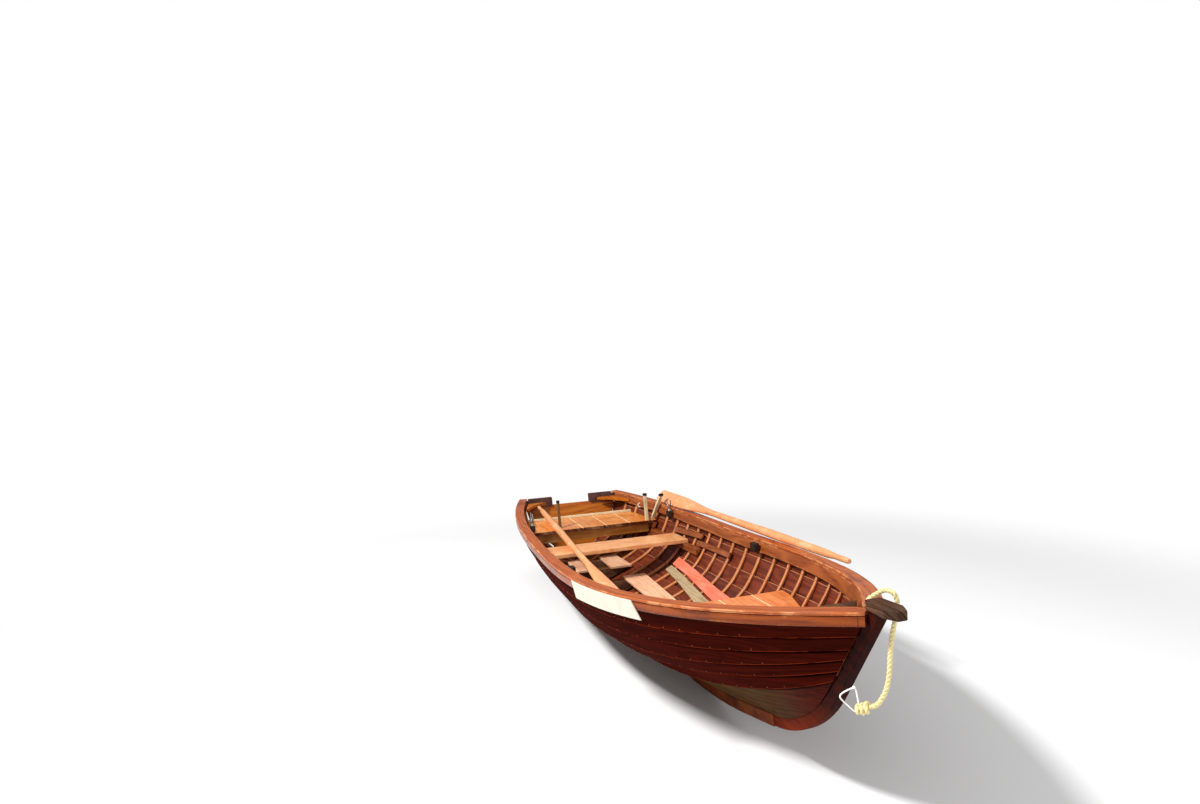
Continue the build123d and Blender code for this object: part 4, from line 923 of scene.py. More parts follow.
    def strake(self, index: int, share: np.ndarray) -> np.ndarray:
        """Corners of a strake's sections: outer low, outer high, inner high, inner low.

        Args:
            index: Number of the strake from the keel up.
            share: Shares of its length from the transom.

        Returns:
            Array of sections by four corners by three coordinates, in millimetres.
        """
        low, high = self.line(index, share), self.line(index + 1, share)
        if index == 0:
            low = low - unit(high - low) * self.rabbet
        step = np.where(share < 0.5, self.STEP, -self.STEP)
        along = (self.line(index, share + step) - self.line(index, share)) * np.sign(step)[:, None]
        normal = unit(np.cross(high - low, along))
        normal *= np.where(normal[:, 1:2] > 0, 1, -1)
        inner_high = high - normal * self.plank
        if index == 0:
            inner_low = low - normal * self.plank
            lean = unit(inner_high - inner_low)
        else:
            seat = low + normal * self.seat
            lean = unit(inner_high - seat)
            inner_low = seat - lean * self.lap
        skin = unit(np.cross(unit(np.cross(lean, normal)), lean)) * self.plank
        skin *= np.where(skin[:, 1:2] < 0, -1, 1)
        return np.stack([inner_low + skin, inner_high + skin, inner_high, inner_low], 1)


def unit(vectors: np.ndarray) -> np.ndarray:
    """Vectors of length one."""
    return vectors / np.linalg.norm(vectors, axis=-1, keepdims=True)


OUTER_LOW, OUTER_HIGH, INNER_HIGH, INNER_LOW = range(4)


class Hull:
    """The hull's surfaces as dense arrays, from which planking, ribs and rails are made. Millimetres."""

    # Shares of the garboard's height where the sections have a point
    PARTS = (0.0, 0.25, 0.5, 0.75)
    # How far to each side a line's slope is read
    REACH = 20.0

    def __init__(self, form: HullForm, sections: int = 121) -> None:
        """Works out all strakes.

        Args:
            form: The hull's lines.
            sections: Number of sections along each strake.
        """
        self.form = form
        self.share = np.linspace(0.0, 1.0, sections)
        self.strakes = [form.strake(index, self.share) for index in range(6)]
        low, high = self.strakes[0][:, INNER_LOW], self.strakes[0][:, INNER_HIGH]
        self.ring_lines = [low + (high - low) * part for part in self.PARTS]
        self.ring_lines += [strake[:, INNER_HIGH] for strake in self.strakes]

    def ring(self, x: np.ndarray, depth: float) -> np.ndarray:
        """Points at a depth inside the planking's landings, from the keel to the sheer.

        Args:
            x: Distances from amidships.
            depth: How far inside the landings.

        Returns:
            Array of stations by points by (y, z).
        """
        x = np.asarray(x, float)
        points = np.stack([np.stack([np.interp(x, line[:, 0], line[:, axis]) for axis in (1, 2)], -1)
                           for line in self.ring_lines], 1)
        padded = np.concatenate([points[:, :1], points, points[:, -1:]], 1)
        run = unit(padded[:, 2:] - padded[:, :-2])
        slopes = []
        for number in range(len(self.ring_lines)):
            line = self.ring_lines[max(number, len(self.PARTS))]
            ahead, behind = (np.interp(x + reach, line[:, 0], line[:, 1])
                             for reach in (self.REACH, -self.REACH))
            slopes.append((ahead - behind) / (2 * self.REACH))
        slant = np.hypot(1.0, np.stack(slopes, 1))[..., None]
        return points + np.stack([-run[..., 1], run[..., 0]], -1) * depth * slant

    def sheer(self, share: np.ndarray) -> tuple[np.ndarray, np.ndarray, np.ndarray]:
        """The planking's top edge.

        Args:
            share: Shares of its length from the transom.

        Returns:
            Its outer points, the level normals that point out, and the planking's lean.
        """
        strake = self.form.strake(5, share)
        outer, inner, below = strake[:, OUTER_HIGH], strake[:, INNER_HIGH], strake[:, OUTER_LOW]
        step = np.where(share < 0.5, 2 * self.form.STEP, -2 * self.form.STEP)
        along = (self.form.line(6, share + step) - self.form.line(6, share)) * np.sign(step)[:, None]
        flat = unit(np.stack([-along[:, 1], along[:, 0], np.zeros(len(share))], -1))
        lean = ((outer - below) * flat).sum(1) / (outer[:, 2] - below[:, 2])
        top = outer.copy()
        top[:, 2] = np.maximum(outer[:, 2], inner[:, 2])
        return top, flat, lean

    def sheer_top(self, x: np.ndarray) -> np.ndarray:
        """Height of the planking's top edge at distances from amidships."""
        top = self.sheer(self.share)[0]
        return np.interp(x, top[:, 0], top[:, 2])

    def half_breadth(self, x: np.ndarray, z: np.ndarray, depth: float) -> np.ndarray:
        """Half breadth at a depth inside the planking, near the sheer."""
        points = self.ring(x, depth)[:, -2:]
        (y0, z0), (y1, z1) = points[:, 0].T, points[:, 1].T
        return y0 + (y1 - y0) * (z - z0) / (z1 - z0)


@dataclass(frozen=True)
class Planking:
    """The clinker planking of one side.

    Attributes:
        names: Strakes from the keel up.
        rounding: Rounding of a plank's edges in metres.
        shoulder: How far from the edges the rubbing fades out in metres.
        dirt_and_lap_shade: How far each strake's painted shade reaches below its top edge in metres,
            mostly under the next strake.
        fade: Distance in metres over which the painted shade fades out.
    """

    names: tuple[str, ...] = ("garboard", "second", "third", "fourth", "fifth", "sheer")
    rounding: float = 0.0016
    shoulder: float = 0.007
    dirt_and_lap_shade: tuple[float, ...] = (0.030, 0.0295, 0.030, 0.0265, 0.024, 0.042)
    fade: float = 0.014

    def with_lap_shade(self, rings: np.ndarray, wear: np.ndarray, index: int) -> tuple[np.ndarray, np.ndarray]:
        """Adds two lines of points on the outer face, between which the painted shade under the lap fades
        out.

        The plank's lower edge gets painted shade too.

        Args:
            rings: Rings of a strake, whose sixth and seventh points bound its outer face.
            wear: How rubbed each point of a ring is.
            index: Number of the strake.

        Returns:
            The rings and the rubbing with the two lines, below zero for the painted shade.
        """
        near = self.dirt_and_lap_shade[index]
        far = near + self.fade
        low, high = rings[:, 5:6], rings[:, 6:7]
        down = unit(low - high)
        lines = np.concatenate([high + down * far, high + down * near], 1)
        # Painted shade, below zero, under the lap and on the plank's lower edge face
        wear = np.concatenate([wear[:6], [0.0, -1.0], [-1.0], wear[7:]])
        wear[[0, 1, -1]] = -1.0
        return np.concatenate([rings[:, :6], lines, rings[:, 6:]], 1), wear

    def build(self, hull: Hull, side_name: str, side: float, outside: bpy.types.Material,
              low: bpy.types.Material, inside: bpy.types.Material) -> None:
        """Makes every strake of a side, each with an outer and an inner finish.

        Args:
            hull: The hull.
            side_name: Name of the side.
            side: One for port and minus one for starboard.
            outside: Finish of the outer faces.
            low: Finish of the garboard's outer face.
            inside: Finish of the inner faces.
        """
        for index, name in enumerate(self.names):
            rings, wear = rounded(hull.strakes[index] * MM, self.rounding, self.shoulder)
            # Each plank's rubbed outer low corner is partly a painted highlight along its lap
            rings, wear = self.with_lap_shade(rings, wear * (1.0 if index else 0.5), index)
            skin = MeshBuilder()
            skin.tube(mirrored(rings, side), wear if side > 0 else wear[::-1],
                      (index * 0.37 + (0.11 if side > 0 else 0.53)) % 1.0)
            count = rings.shape[1]
            for number in range(len(skin.faces) - 2):
                point = number % count if side > 0 else (count - 2 - number % count) % count
                if point > count // 2:
                    skin.slots[number] = 1
            skin.build(f"planking_{name}_{side_name}", "hull", "garboard" if index == 0 else "planking",
                       [low if index == 0 else outside, inside], f"strake_{name}_{side_name}")


@dataclass(frozen=True)
class Ribs:
    """Bent ribs from beside the keelson to under the gunwale cap. Millimetres.

    Attributes:
        first: Distance of the first rib from amidships.
        pitch: Distance between ribs.
        last: No rib lies ahead of this.
        width: Width along the boat.
        thickness: Depth into the boat.
        seat: Gap to the planks' landings.
        head: How far the top stays under the sheer.
        inner: Half breadth of the lower end.
        points: Points along a rib.
    """

    first: float = -2004.0
    pitch: float = 184.0
    last: float = 1680.0
    width: float = 24.0
    thickness: float = 14.0
    seat: float = 0.8
    head: float = 3.0
    inner: float = 35.4
    points: int = 44

    def places(self) -> np.ndarray:
        """Distances of the ribs from amidships."""
        return np.arange(self.first, self.last + 1.0, self.pitch)

    def curve(self, hull: Hull, x: np.ndarray, depth: float) -> np.ndarray:
        """Smooth curves through the landings at a depth, one for each distance.

        Between the landings P the curve is the Catmull-Rom spline
        P1 + t (P2-P0)/2 + t^2 (2P0-5P1+4P2-P3)/2 + t^3 (3P1-P0-3P2+P3)/2.

        Args:
            hull: The hull.
            x: Distances from amidships.
            depth: How far inside the landings.

        Returns:
            Array of ribs by points by (y, z).
        """
        ring = hull.ring(x, depth)
        top = ring[:, -1:] + (ring[:, -1:] - ring[:, -2:-1]) * 0.5
        knots = np.concatenate([ring, top], 1)
        before, after = 2 * knots[:, :1] - knots[:, 1:2], 2 * knots[:, -1:] - knots[:, -2:-1]
        knots = np.concatenate([before, knots, after], 1)
        t = np.linspace(0, 1, 9)[:-1][None, None, :, None]
        p0, p1, p2, p3 = (knots[:, k:knots.shape[1] - 3 + k, None] for k in range(4))
        dense = (p1 + t * (p2 - p0) / 2 + t**2 * (2 * p0 - 5 * p1 + 4 * p2 - p3) / 2
                 + t**3 * (3 * p1 - p0 - 3 * p2 + p3) / 2).reshape(len(x), -1, 2)
        heights = hull.sheer_top(x) - self.head
        result = []
        for curve, height in zip(dense, heights):
            number = np.arange(len(curve), dtype=float)
            low = np.interp(self.inner, np.maximum.accumulate(curve[:20, 0]), number[:20])
            high = np.interp(height, np.maximum.accumulate(curve[:, 1]), number)
            at = np.linspace(low, high, self.points)
            result.append(np.stack([np.interp(at, number, curve[:, axis]) for axis in (0, 1)], -1))
        return np.stack(result)

    def build(self, hull: Hull, side_name: str, side: float, material: bpy.types.Material) -> None:
        """Makes the ribs of one side.

        Args:
            hull: The hull.
            side_name: Name of the side.
            side: One for port and minus one for starboard.
            material: Their finish.
        """
        x = self.places()
        edges = (x - self.width / 2, x + self.width / 2)
        outer = [self.curve(hull, edge, self.seat) for edge in edges]
        inner = [self.curve(hull, edge, self.seat + self.thickness) for edge in edges]
        rows = MeshBuilder()
        for number in range(len(x)):
            stations = [np.full((self.points, 1), edge[number]) for edge in edges]
            corners = [np.concatenate([stations[edge], curve[edge][number]], 1)
                       for edge, curve in ((0, outer), (1, outer), (1, inner), (0, inner))]
            rows.bar(np.stack(corners, 1), 0.0032, 0.003, side, 0.5,
                     (number * 0.618 + (0.2 if side > 0 else 0.7)) % 1.0)
        rows.build(f"bent_ribs_{side_name}", "hull", "ribs", [material], f"ribs_{side_name}")


@dataclass(frozen=True)
class Rails:
    """Outwale, inwale and cap along the sheer. Millimetres.

    Attributes:
        cap: Thickness of the cap.
        outwale: Thickness and height of the outwale.
        outwale_gap: Gap between planking and outwale.
        leans_to: Share of the sheer up to which the outwale follows the planking's lean.
        inwale: Thickness and height of the inwale.
        inwale_span: Ends of the inwale.
        inwale_depth: Depth of its outer face inside the landings.
        lip: Overhang of the cap.
        apart: Half breadth that the caps leave between them at the stem.
        fit: Gap between cap and planking.
    """

    cap: float = 12.0
    outwale: tuple[float, float] = (22.0, 40.0)
    outwale_gap: float = 1.6
    leans_to: float = 0.985
    inwale: tuple[float, float] = (18.0, 62.0)
    inwale_span: tuple[float, float] = (-2170.0, 1930.0)
    inwale_depth: float = 15.8
    lip: float = 2.0
    apart: float = 3.0
    fit: float = 0.4

    def inwale_face(self, hull: Hull, x: np.ndarray, drop: float) -> np.ndarray:
        """Half breadth to the inwale's inner face, some way below the sheer."""
        top = hull.sheer_top(x)
        ahead, behind = (hull.half_breadth(x + reach, top, self.inwale_depth)
                         for reach in (hull.REACH, -hull.REACH))
        slant = np.hypot(1.0, (ahead - behind) / (2 * hull.REACH))
        return hull.half_breadth(x, top - drop, self.inwale_depth) - self.inwale[0] * slant

    def outwale_corners(self, hull: Hull) -> np.ndarray:
        """Corners of the outwale's sections: outer low, outer high, inner high, inner low."""
        share = np.linspace(0.0, 1.0, 121)
        here, flat, lean = hull.sheer(share)
        lean = lean * np.clip((1.0 - share) / (1.0 - self.leans_to), 0.0, 1.0)
        outer, low = self.outwale_gap + self.outwale[0], -self.outwale[1]
        inner_high, inner_low = self.outwale_gap - self.fit * lean, self.outwale_gap + low * lean
        rows = ((outer, low), (outer, -self.fit), (inner_high, -self.fit), (inner_low, low))
        return np.stack([here + flat * np.broadcast_to(reach, len(share))[:, None] + [0, 0, height]
                         for reach, height in rows], 1)

    def inwale_corners(self, hull: Hull) -> np.ndarray:
        """Corners of the inwale's sections: outer low, outer high, inner high, inner low."""
        x = np.linspace(*self.inwale_span, 110)
        top = hull.sheer_top(x)
        high, low = top - self.fit, top - self.inwale[1]
        columns = ((hull.half_breadth(x, low, self.inwale_depth), low),
                   (hull.half_breadth(x, high, self.inwale_depth), high),
                   (self.inwale_face(hull, x, 0.0), high), (self.inwale_face(hull, x, self.inwale[1]), low))
        return np.stack([np.stack([x, y, z], -1) for y, z in columns], 1)

    def cap_corners(self, hull: Hull) -> np.ndarray:
        """Corners of the cap's sections: outer low, outer high, inner high, inner low."""
        here, flat = hull.sheer(np.linspace(0.0, 1.0, 121))[:2]
        outer = here + flat * (self.outwale_gap + self.outwale[0] + self.lip)
        reach = np.minimum((here[:, 1] - self.inwale_face(hull, here[:, 0], 0.0) + self.lip) * flat[:, 1],
                           (here[:, 1] - self.apart) / flat[:, 1])
        inner = here - flat * reach[:, None]
        low, high = self.fit, self.fit + self.cap
        return np.stack([np.stack([edge[:, 0], edge[:, 1], here[:, 2] + height], -1)
                         for edge, height in ((outer, low), (outer, high), (inner, high), (inner, low))], 1)

    def build(self, hull: Hull, side_name: str, side: float,
              finishes: dict[str, bpy.types.Material]) -> None:
        """Makes the three rails of one side.

        Args:
            hull: The hull.
            side_name: Name of the side.
            side: One for port and minus one for starboard.
            finishes: Materials by the record's slot.
        """
        for node, slot, corners, radius in (("outwale", "outwale", self.outwale_corners(hull), 0.006),
                                            ("inwale", "inwale", self.inwale_corners(hull), 0.003),
                                            ("gunwale_cap", "gunwale", self.cap_corners(hull), 0.004)):
            rail = MeshBuilder()
            rail.bar(corners, radius, 0.005, side, board=0.21 if side > 0 else 0.64)
            rail.build(f"{node}_rail_{side_name}", "hull", slot, [finishes[slot]], f"{node}_{side_name}")


@dataclass(frozen=True)
class Fastenings:
    """Copper rivets through the laps and screws in the boards. Millimetres.

    Attributes:
        edge: How far the rivets are from a plank's edge.
        rivet: Radius and height of a rivet's head.
        screw: Radius and height of a screw's head.
        floor_top: Height of the floorboards.
        board: Middles of the floorboards, to each side.
        pair: Half the distance between the two screws of a pair.
        bearers: Middles of the floor bearers.
        inside: Depth inside the landings where the room for a screw is measured.
        clear: How far a screw stays from there.
    """

    edge: float = 10.0
    rivet: tuple[float, float] = (3.4, 1.5)
    screw: tuple[float, float] = (4.2, 0.7)
    floor_top: float = 190.0
    board: tuple[float, ...] = (130.0, 264.0)
    pair: float = 42.0
    bearers: tuple[float, ...] = (-1510.0, -1245.0, -865.0, -315.0, 235.0, 510.0)
    inside: float = 30.0
    clear: float = 20.0

    def _along(self, line: np.ndarray, x: np.ndarray) -> np.ndarray:
        """Points of a line at distances from amidships."""
        return np.stack([x, np.interp(x, line[:, 0], line[:, 1]), np.interp(x, line[:, 0], line[:, 2])], -1)

    def build(self, hull: Hull, ribs: Ribs, copper: bpy.types.Material) -> None:
        """Makes every rivet and screw.

        Args:
            hull: The hull.
            ribs: The ribs, which share their rivets.
            copper: Finish of the heads.
        """
        at_ribs = ribs.places()
        between = at_ribs[:-1] + ribs.pitch / 2
        outside, inside = [], []
        for index in range(1, 6):
            strake, below = hull.strakes[index], hull.strakes[index - 1]
            x = np.sort(np.concatenate([at_ribs, between]))
            low, high, skin = (self._along(strake[:, corner], x)
                               for corner in (OUTER_LOW, OUTER_HIGH, INNER_LOW))
            outside.append((low + unit(high - low) * self.edge, unit(low - skin)))
            edge, root, skin = (self._along(below[:, corner], between)
                                for corner in (INNER_HIGH, INNER_LOW, OUTER_HIGH))
            inside.append((edge + unit(root - edge) * self.edge, unit(edge - skin)))
            ring, deep = (hull.ring(at_ribs, depth)[:, 3 + index]
                          for depth in (ribs.seat, ribs.seat + ribs.thickness))
            step = np.concatenate([np.zeros((len(at_ribs), 1)), deep - ring], 1)
            inside.append((np.concatenate([at_ribs[:, None], deep], 1), step))
        centers, normals = (np.concatenate([row[k] for row in outside + inside]) for k in (0, 1))
        for side_name, side in SIDES:
            flip = np.array([1.0, side, 1.0])
            heads = MeshBuilder()
            domes(heads, centers * flip * MM, normals * flip, self.rivet[0] * MM, self.rivet[1] * MM)
            heads.build(f"copper_rivets_{side_name}", "hull", "galvanised", [copper], angle=50)
        rows = [(x, side * (middle + aside), self.floor_top) for x in self.bearers for middle in self.board
                for aside in (-self.pair, self.pair) for _, side in SIDES]
        screws = MeshBuilder()
        places = np.array(rows)
        room = hull.ring(places[:, 0], self.inside)
        wide = np.array([np.interp(self.floor_top, ring[:, 1], ring[:, 0]) for ring in room])
        places = places[np.abs(places[:, 1]) < wide - self.clear]
        up = np.tile([0.0, 0.0, 1.0], (len(places), 1))
        domes(screws, places * MM, up, self.screw[0] * MM, self.screw[1] * MM)
        screws.build("floor_screws", "hull", "galvanised", [copper], angle=50)


@dataclass(frozen=True)
class Seams:
    """Pale strips in the seams of the stern and bow seats. Millimetres.

    Attributes:
        width: Width of a strip.
        proud: How far a strip stands above the boards.
        depth: How far a strip goes down.
        under: How far below the seat's top the room for a strip is measured.
        inside: Depth inside the landings where it is measured.
        clear: How far a strip's middle stays from there.
    """

    width: float = 6.0
    proud: float = 0.5
    depth: float = 6.0
    under: float = 22.0
    inside: float = 21.0
    clear: float = 16.0

    # Name, slot, aft end, fore end, top of the seat, width of its boards, number of seams to each side
    ROWS = (
        ("stern_seat_seams", "stern_seat", -1853.0, -1397.0, 492.0, 206.0, 2),
        ("bow_seat_seams", "bow_seat", 692.0, 1268.0, 468.0, 200.0, 2),
    )

    def build(self, hull: Hull, paint: bpy.types.Material) -> None:
        """Makes the strips, each as long as both of its boards.

        Args:
            hull: The hull, whose sides end them.
            paint: Their finish.
        """
        for name, slot, aft, fore, top, board, count in self.ROWS:
            strips = MeshBuilder()
            x = np.linspace(aft, fore, 60)
            room = np.array([np.interp(top - self.under, ring[:, 1], ring[:, 0])
                             for ring in hull.ring(x, self.inside)])
            for number in range(count):
                middle = (number + 0.5) * board
                inside = x[room > middle + self.clear]
                if len(inside) < 2:
                    continue
                ends = np.array([inside[0], inside[-1]])
                for _, side in SIDES:
                    left, right = side * middle + self.width / 2, side * middle - self.width / 2
                    low, high = top - self.depth, top + self.proud
                    corners = [np.stack([ends, np.full(2, y), np.full(2, z)], -1)
                               for y, z in ((right, high), (left, high), (left, low), (right, low))]
                    strips.bar(np.stack(corners, 1), 0.0006, 0.001)
            strips.build(name, "hull", slot, [paint], angle=50)


@dataclass(frozen=True)
class Posts:
    """Square posts that stand on the stern seat, with dark caps. Millimetres.

    Attributes:
        seat: Height of their feet.
        height: Height of their tops above the seat.
        cap: Height of the dark cap and how far it stands out.
        cap_from: Share of the post's length that the cap takes up.
        uneven: Share by which a post's width wavers.
    """

    seat: float = 492.4
    height: float = 222.0
    cap: tuple[float, float] = (16.0, 2.0)
    cap_from: float = 0.05
    uneven: float = 0.05

    SQUARE = ((-1, -1), (1, -1), (1, 1), (-1, 1))
    # Foot x and y, top x and y, width, whether it is brown
    ROWS = (
        (-1490.0, -277.0, -1505.0, -284.0, 22.0, True),
        (-1420.0, 474.0, -1432.0, 468.0, 27.0, False),
        (-1442.0, 530.0, -1332.0, 582.0, 30.0, False),
    )

    def build(self, pale: bpy.types.Material, brown: bpy.types.Material,
              dark: bpy.types.Material) -> None:
        """Makes the posts and their caps.

        Args:
            pale: Finish of the pale posts.
            brown: Finish of the brown post.
            dark: Finish of the caps.
        """
        posts = MeshBuilder()
        for number, (x0, y0, x1, y1, width, is_brown) in enumerate(self.ROWS):
            foot, top = np.array([x0, y0, self.seat]), np.array([x1, y1, SEAT_TOP * 1000 + self.height])
            shares = np.linspace(0, 1, 14)
            middle = foot + (top - foot) * shares[:, None]
            half = width / 2 * (1 + self.uneven * np.sin(shares * 9 + number))
            head = np.linspace(top - (top - foot) * self.cap_from, top + [0, 0, self.cap[0] * 0.4], 3)
            for slot, path, reach in ((1 if is_brown else 0, middle, half),
                                      (2, head, np.full(3, width / 2 + self.cap[1]))):
                corners = [path + np.stack([a * reach, b * reach, 0 * reach], -1) for a, b in self.SQUARE]
                posts.bar(np.stack(corners, 1), 0.004, 0.003, rub=0.5, board=number * 0.37, slot=slot)
        posts.build("stern_seat_posts", "hull", "pale_wood", [pale, brown, dark], "stern_posts")


@dataclass(frozen=True)
class Eye:
    """White eye inside the port quarter, on a dark pin that fills its hole as painted shade. Metres.

    Attributes:
        middle: Middle of the eye.
        facing: Direction that it faces.
        ring: Radius of the eye and of its bar.
        pin: Radius of the dark pin in its hole, which stands for painted shade there, and how far it goes
            back, into the planking.
    """

    middle: tuple[float, float, float] = (-1.735, 0.5285, 0.566)
    facing: tuple[float, float, float] = (0.80, -0.52, 0.30)
    ring: tuple[float, float] = (0.017, 0.006)
    pin: tuple[float, float] = (0.0135, 0.038)

    def build(self, paint: bpy.types.Material, dark: bpy.types.Material) -> None:
        """Makes the eye: p(a, b) = c + (R + r cos b)(cos a U + sin a V) - r sin b N.

        Args:
            paint: Finish of the eye.
            dark: Finish of the pin, the painted shade in the hole.
        """
        middle, normal = np.array(self.middle), unit(np.array(self.facing))
        across = unit(np.cross([0.0, 0.0, 1.0], normal))
        over = np.cross(normal, across)
        angle = np.linspace(0, 2 * np.pi, 33)[:, None, None]
        spoke = np.cos(angle) * across + np.sin(angle) * over
        tube = np.linspace(0, 2 * np.pi, 12, endpoint=False)[None, :, None]
        wide, thin = self.ring
        eye = MeshBuilder()
        eye.tube(middle + (wide + thin * np.cos(tube)) * spoke - thin * np.sin(tube) * normal, caps=False)
        # The dark pin fills the eye's hole as painted shade
        back = np.linspace(-self.pin[1], 0.001, 5)[:, None]
        eye.tube(round_rings(middle + back * normal, self.pin[0], 20), slot=1)
        eye.build("white_eye", "hull", "white_board", [paint, dark], angle=60)


# Loose gear


@dataclass(frozen=True)
class Oar:
    """An oar from its grip end to its blade's tip. Metres.

    Attributes:
        length: Whole length.
        grip: Length and diameter of the grip.
        loom: Largest diameter of the loom, how far that is from the grip's end, and its diameter at
            the blade.
        blade: Length, width and thickness of the blade.
        flare: How far before the blade the loom starts to widen.
    """

    length: float = 2.5605
    grip: tuple[float, float] = (0.13, 0.033)
    loom: tuple[float, float, float] = (0.056, 0.6913, 0.040)
    blade: tuple[float, float, float] = (0.72, 0.112, 0.016)
    flare: float = 0.34

    # Share of the blade's length over which the loom turns into the blade
    SHOULDER = 0.45
    # How square the blade's sections are, and height and half width of its ridge
    SQUARE, RIDGE, RIDGE_WIDTH = 0.35, 0.55, 0.28
    # Length of the tip that narrows, and by how much
    TIP, TIP_NARROWS = 0.03, 0.18

    def build(self, name: str, place: Matrix, material: bpy.types.Material) -> None:
        """Makes the oar.

        The loom is round with radius r(x); along the blade the sections flatten by
        s(x) = smoothstep of the distance past the shoulder.

        Args:
            name: Name of the body and of its node.
            place: Matrix from the oar's own line along X to the frame.
            material: Wood.
        """
        shoulder = self.length - self.blade[0]
        x = np.concatenate([np.linspace(0, self.grip[0], 10),
                            np.linspace(self.grip[0] + 0.004, shoulder - 0.05, 40),
                            np.linspace(shoulder - 0.03, self.length, 44)])
        g, thick, neck = self.grip[1] / 2, self.loom[0] / 2, self.loom[2] / 2
        stations = [0.0, 0.006, 0.05, self.grip[0], self.grip[0] + 0.02, self.loom[1], shoulder, self.length]
        radii = [g * 0.75, g * 0.95, g, g * 0.98, thick * 0.8, thick, neck, neck * 0.4]
        radius = np.interp(x, stations, radii)
        run = self.blade[0] * self.SHOULDER
        past = smoothstep((x - shoulder) / run)
        wide = smoothstep((x - shoulder + self.flare) / (run + self.flare))
        half_width = radius + (self.blade[1] / 2 - radius) * wide
        tip = np.clip((x - self.length + self.TIP) / self.TIP, 0, 1)
        half_width = half_width * (1 - self.TIP_NARROWS * tip**2)
        half_thick = radius + (self.blade[2] / 2 - radius) * past
        angle = np.linspace(0, 2 * np.pi, 28, endpoint=False)
        c, s = np.cos(angle)[None], np.sin(angle)[None]
        fades = (1 - np.clip((x - shoulder) / self.blade[0], 0, 1))[:, None]
        ridge = 1 + past[:, None] * (self.RIDGE * np.exp(-(c / self.RIDGE_WIDTH) ** 2) * fades)
        power = 1 - self.SQUARE * past[:, None]
        y = half_width[:, None] * np.sign(c) * np.abs(c) ** power
        z = half_thick[:, None] * np.sign(s) * np.abs(s) ** power * ridge
        rings = np.stack([np.broadcast_to(x[:, None], y.shape), y, z], -1)
        wood = MeshBuilder()
        wood.tube(apply(place, rings), 0.35, board=0.3 if "port" in name else 0.8)
        wood.build(f"{name}_wood", name, "oars", [material], name)


# The starboard loom's radius where it lies on the stern seat and on the thwart, the distance between
# the two, how far the seat's is from the grip's end, and the gap that is left there, in metres
ON_SEAT, ON_THWART = 0.0279049, 0.0235887
RESTS_APART, FIRST_REST, REST_GAP = 0.62, 0.705, 0.0004


def stowed_oars() -> dict[str, Matrix]:
    """Where each oar's own line, along X from its grip end, lies in the frame.

    The starboard oar's slope is atan(height between its rests / distance between them), so that it
    touches both.

    Returns:
        A matrix for each oar.
    """
    port = (Matrix.Translation((1.0, 0.722, 0.6773706)) @ Matrix.Rotation(math.radians(181.4), 4, "Z")
            @ Matrix.Rotation(math.radians(0.126039), 4, "Y") @ Matrix.Rotation(math.radians(-45.0), 4, "X"))
    slope = math.atan((SEAT_TOP + ON_SEAT - THWART_TOP - ON_THWART) / RESTS_APART)
    height = SEAT_TOP + (ON_SEAT + REST_GAP) / math.cos(slope) + FIRST_REST * math.tan(slope)
    starboard = Matrix.Translation((-2.1, -0.332, height)) @ Matrix.Rotation(slope, 4, "Y")
    return {"oar_port": port, "oar_starboard": starboard}


def smoothstep(x: np.ndarray) -> np.ndarray:
    """Smooth step x^2 (3 - 2x) from zero to one."""
    x = np.clip(x, 0, 1)
    return x**2 * (3 - 2 * x)


def apply(matrix: Matrix, points: np.ndarray) -> np.ndarray:
    """Points moved by a matrix."""
    m = np.array(matrix)
    return points @ m[:3, :3].T + m[:3, 3]


def laid_rope(builder: MeshBuilder, path: np.ndarray, diameter: float, pitch: float, sides: int = 8) -> None:
    """Adds three strands that wind round a path.

    Strand n runs at p(s) + q (cos(w s + 2 pi n / 3) N(s) + sin(w s + 2 pi n / 3) B(s)), w = 2 pi / pitch.

    Args:
        builder: Where the strands go.
        path: Points of the rope's middle, evenly spaced.
        diameter: Diameter of the rope.
        pitch: Length of one turn.
        sides: Points round a strand.
    """
    _, normal, binormal = frames(path)
    s = np.concatenate([[0.0], np.cumsum(np.linalg.norm(np.diff(path, axis=0), axis=1))])
    strand = diameter * 0.285
    offset = diameter / 2 - strand
    for number in range(3):
        angle = (2 * np.pi * s / pitch + number * 2 * np.pi / 3)[:, None]
        middle = path + offset * (np.cos(angle) * normal + np.sin(angle) * binormal)
        taper = np.ones(len(path))
        taper[0] = taper[-1] = 0.6
        builder.tube(round_rings(middle, strand * taper, sides), board=number / 3)


def resampled(path: np.ndarray, step: float) -> np.ndarray:
    """A path with evenly spaced points."""
    s = np.concatenate([[0.0], np.cumsum(np.linalg.norm(np.diff(path, axis=0), axis=1))])
    at = np.linspace(0, s[-1], max(int(s[-1] / step), 4))
    return np.stack([np.interp(at, s, path[:, axis]) for axis in range(3)], -1)


def smooth_path(points: list[tuple[float, float, float]], step: float) -> np.ndarray:
    """The line of a third-order curve through its control points, read back from the curve itself.

    Args:
        points: Control points.
        step: Distance between the points of the result.

    Returns:
        Array of points.
    """
    data = bpy.data.curves.new("route", "CURVE")
    data.dimensions = "3D"
    data.resolution_u = 24
    spline = data.splines.new("NURBS")
    spline.points.add(len(points) - 1)
    for target, point in zip(spline.points, points):
        target.co = (*point, 1.0)
    spline.order_u = 3
    spline.use_endpoint_u = True
    carrier = bpy.data.objects.new("route", data)
    mesh = bpy.data.meshes.new_from_object(carrier)
    path = np.array([v.co for v in mesh.vertices])
    bpy.data.meshes.remove(mesh)
    bpy.data.objects.remove(carrier)
    bpy.data.curves.remove(data)
    return resampled(path, step)


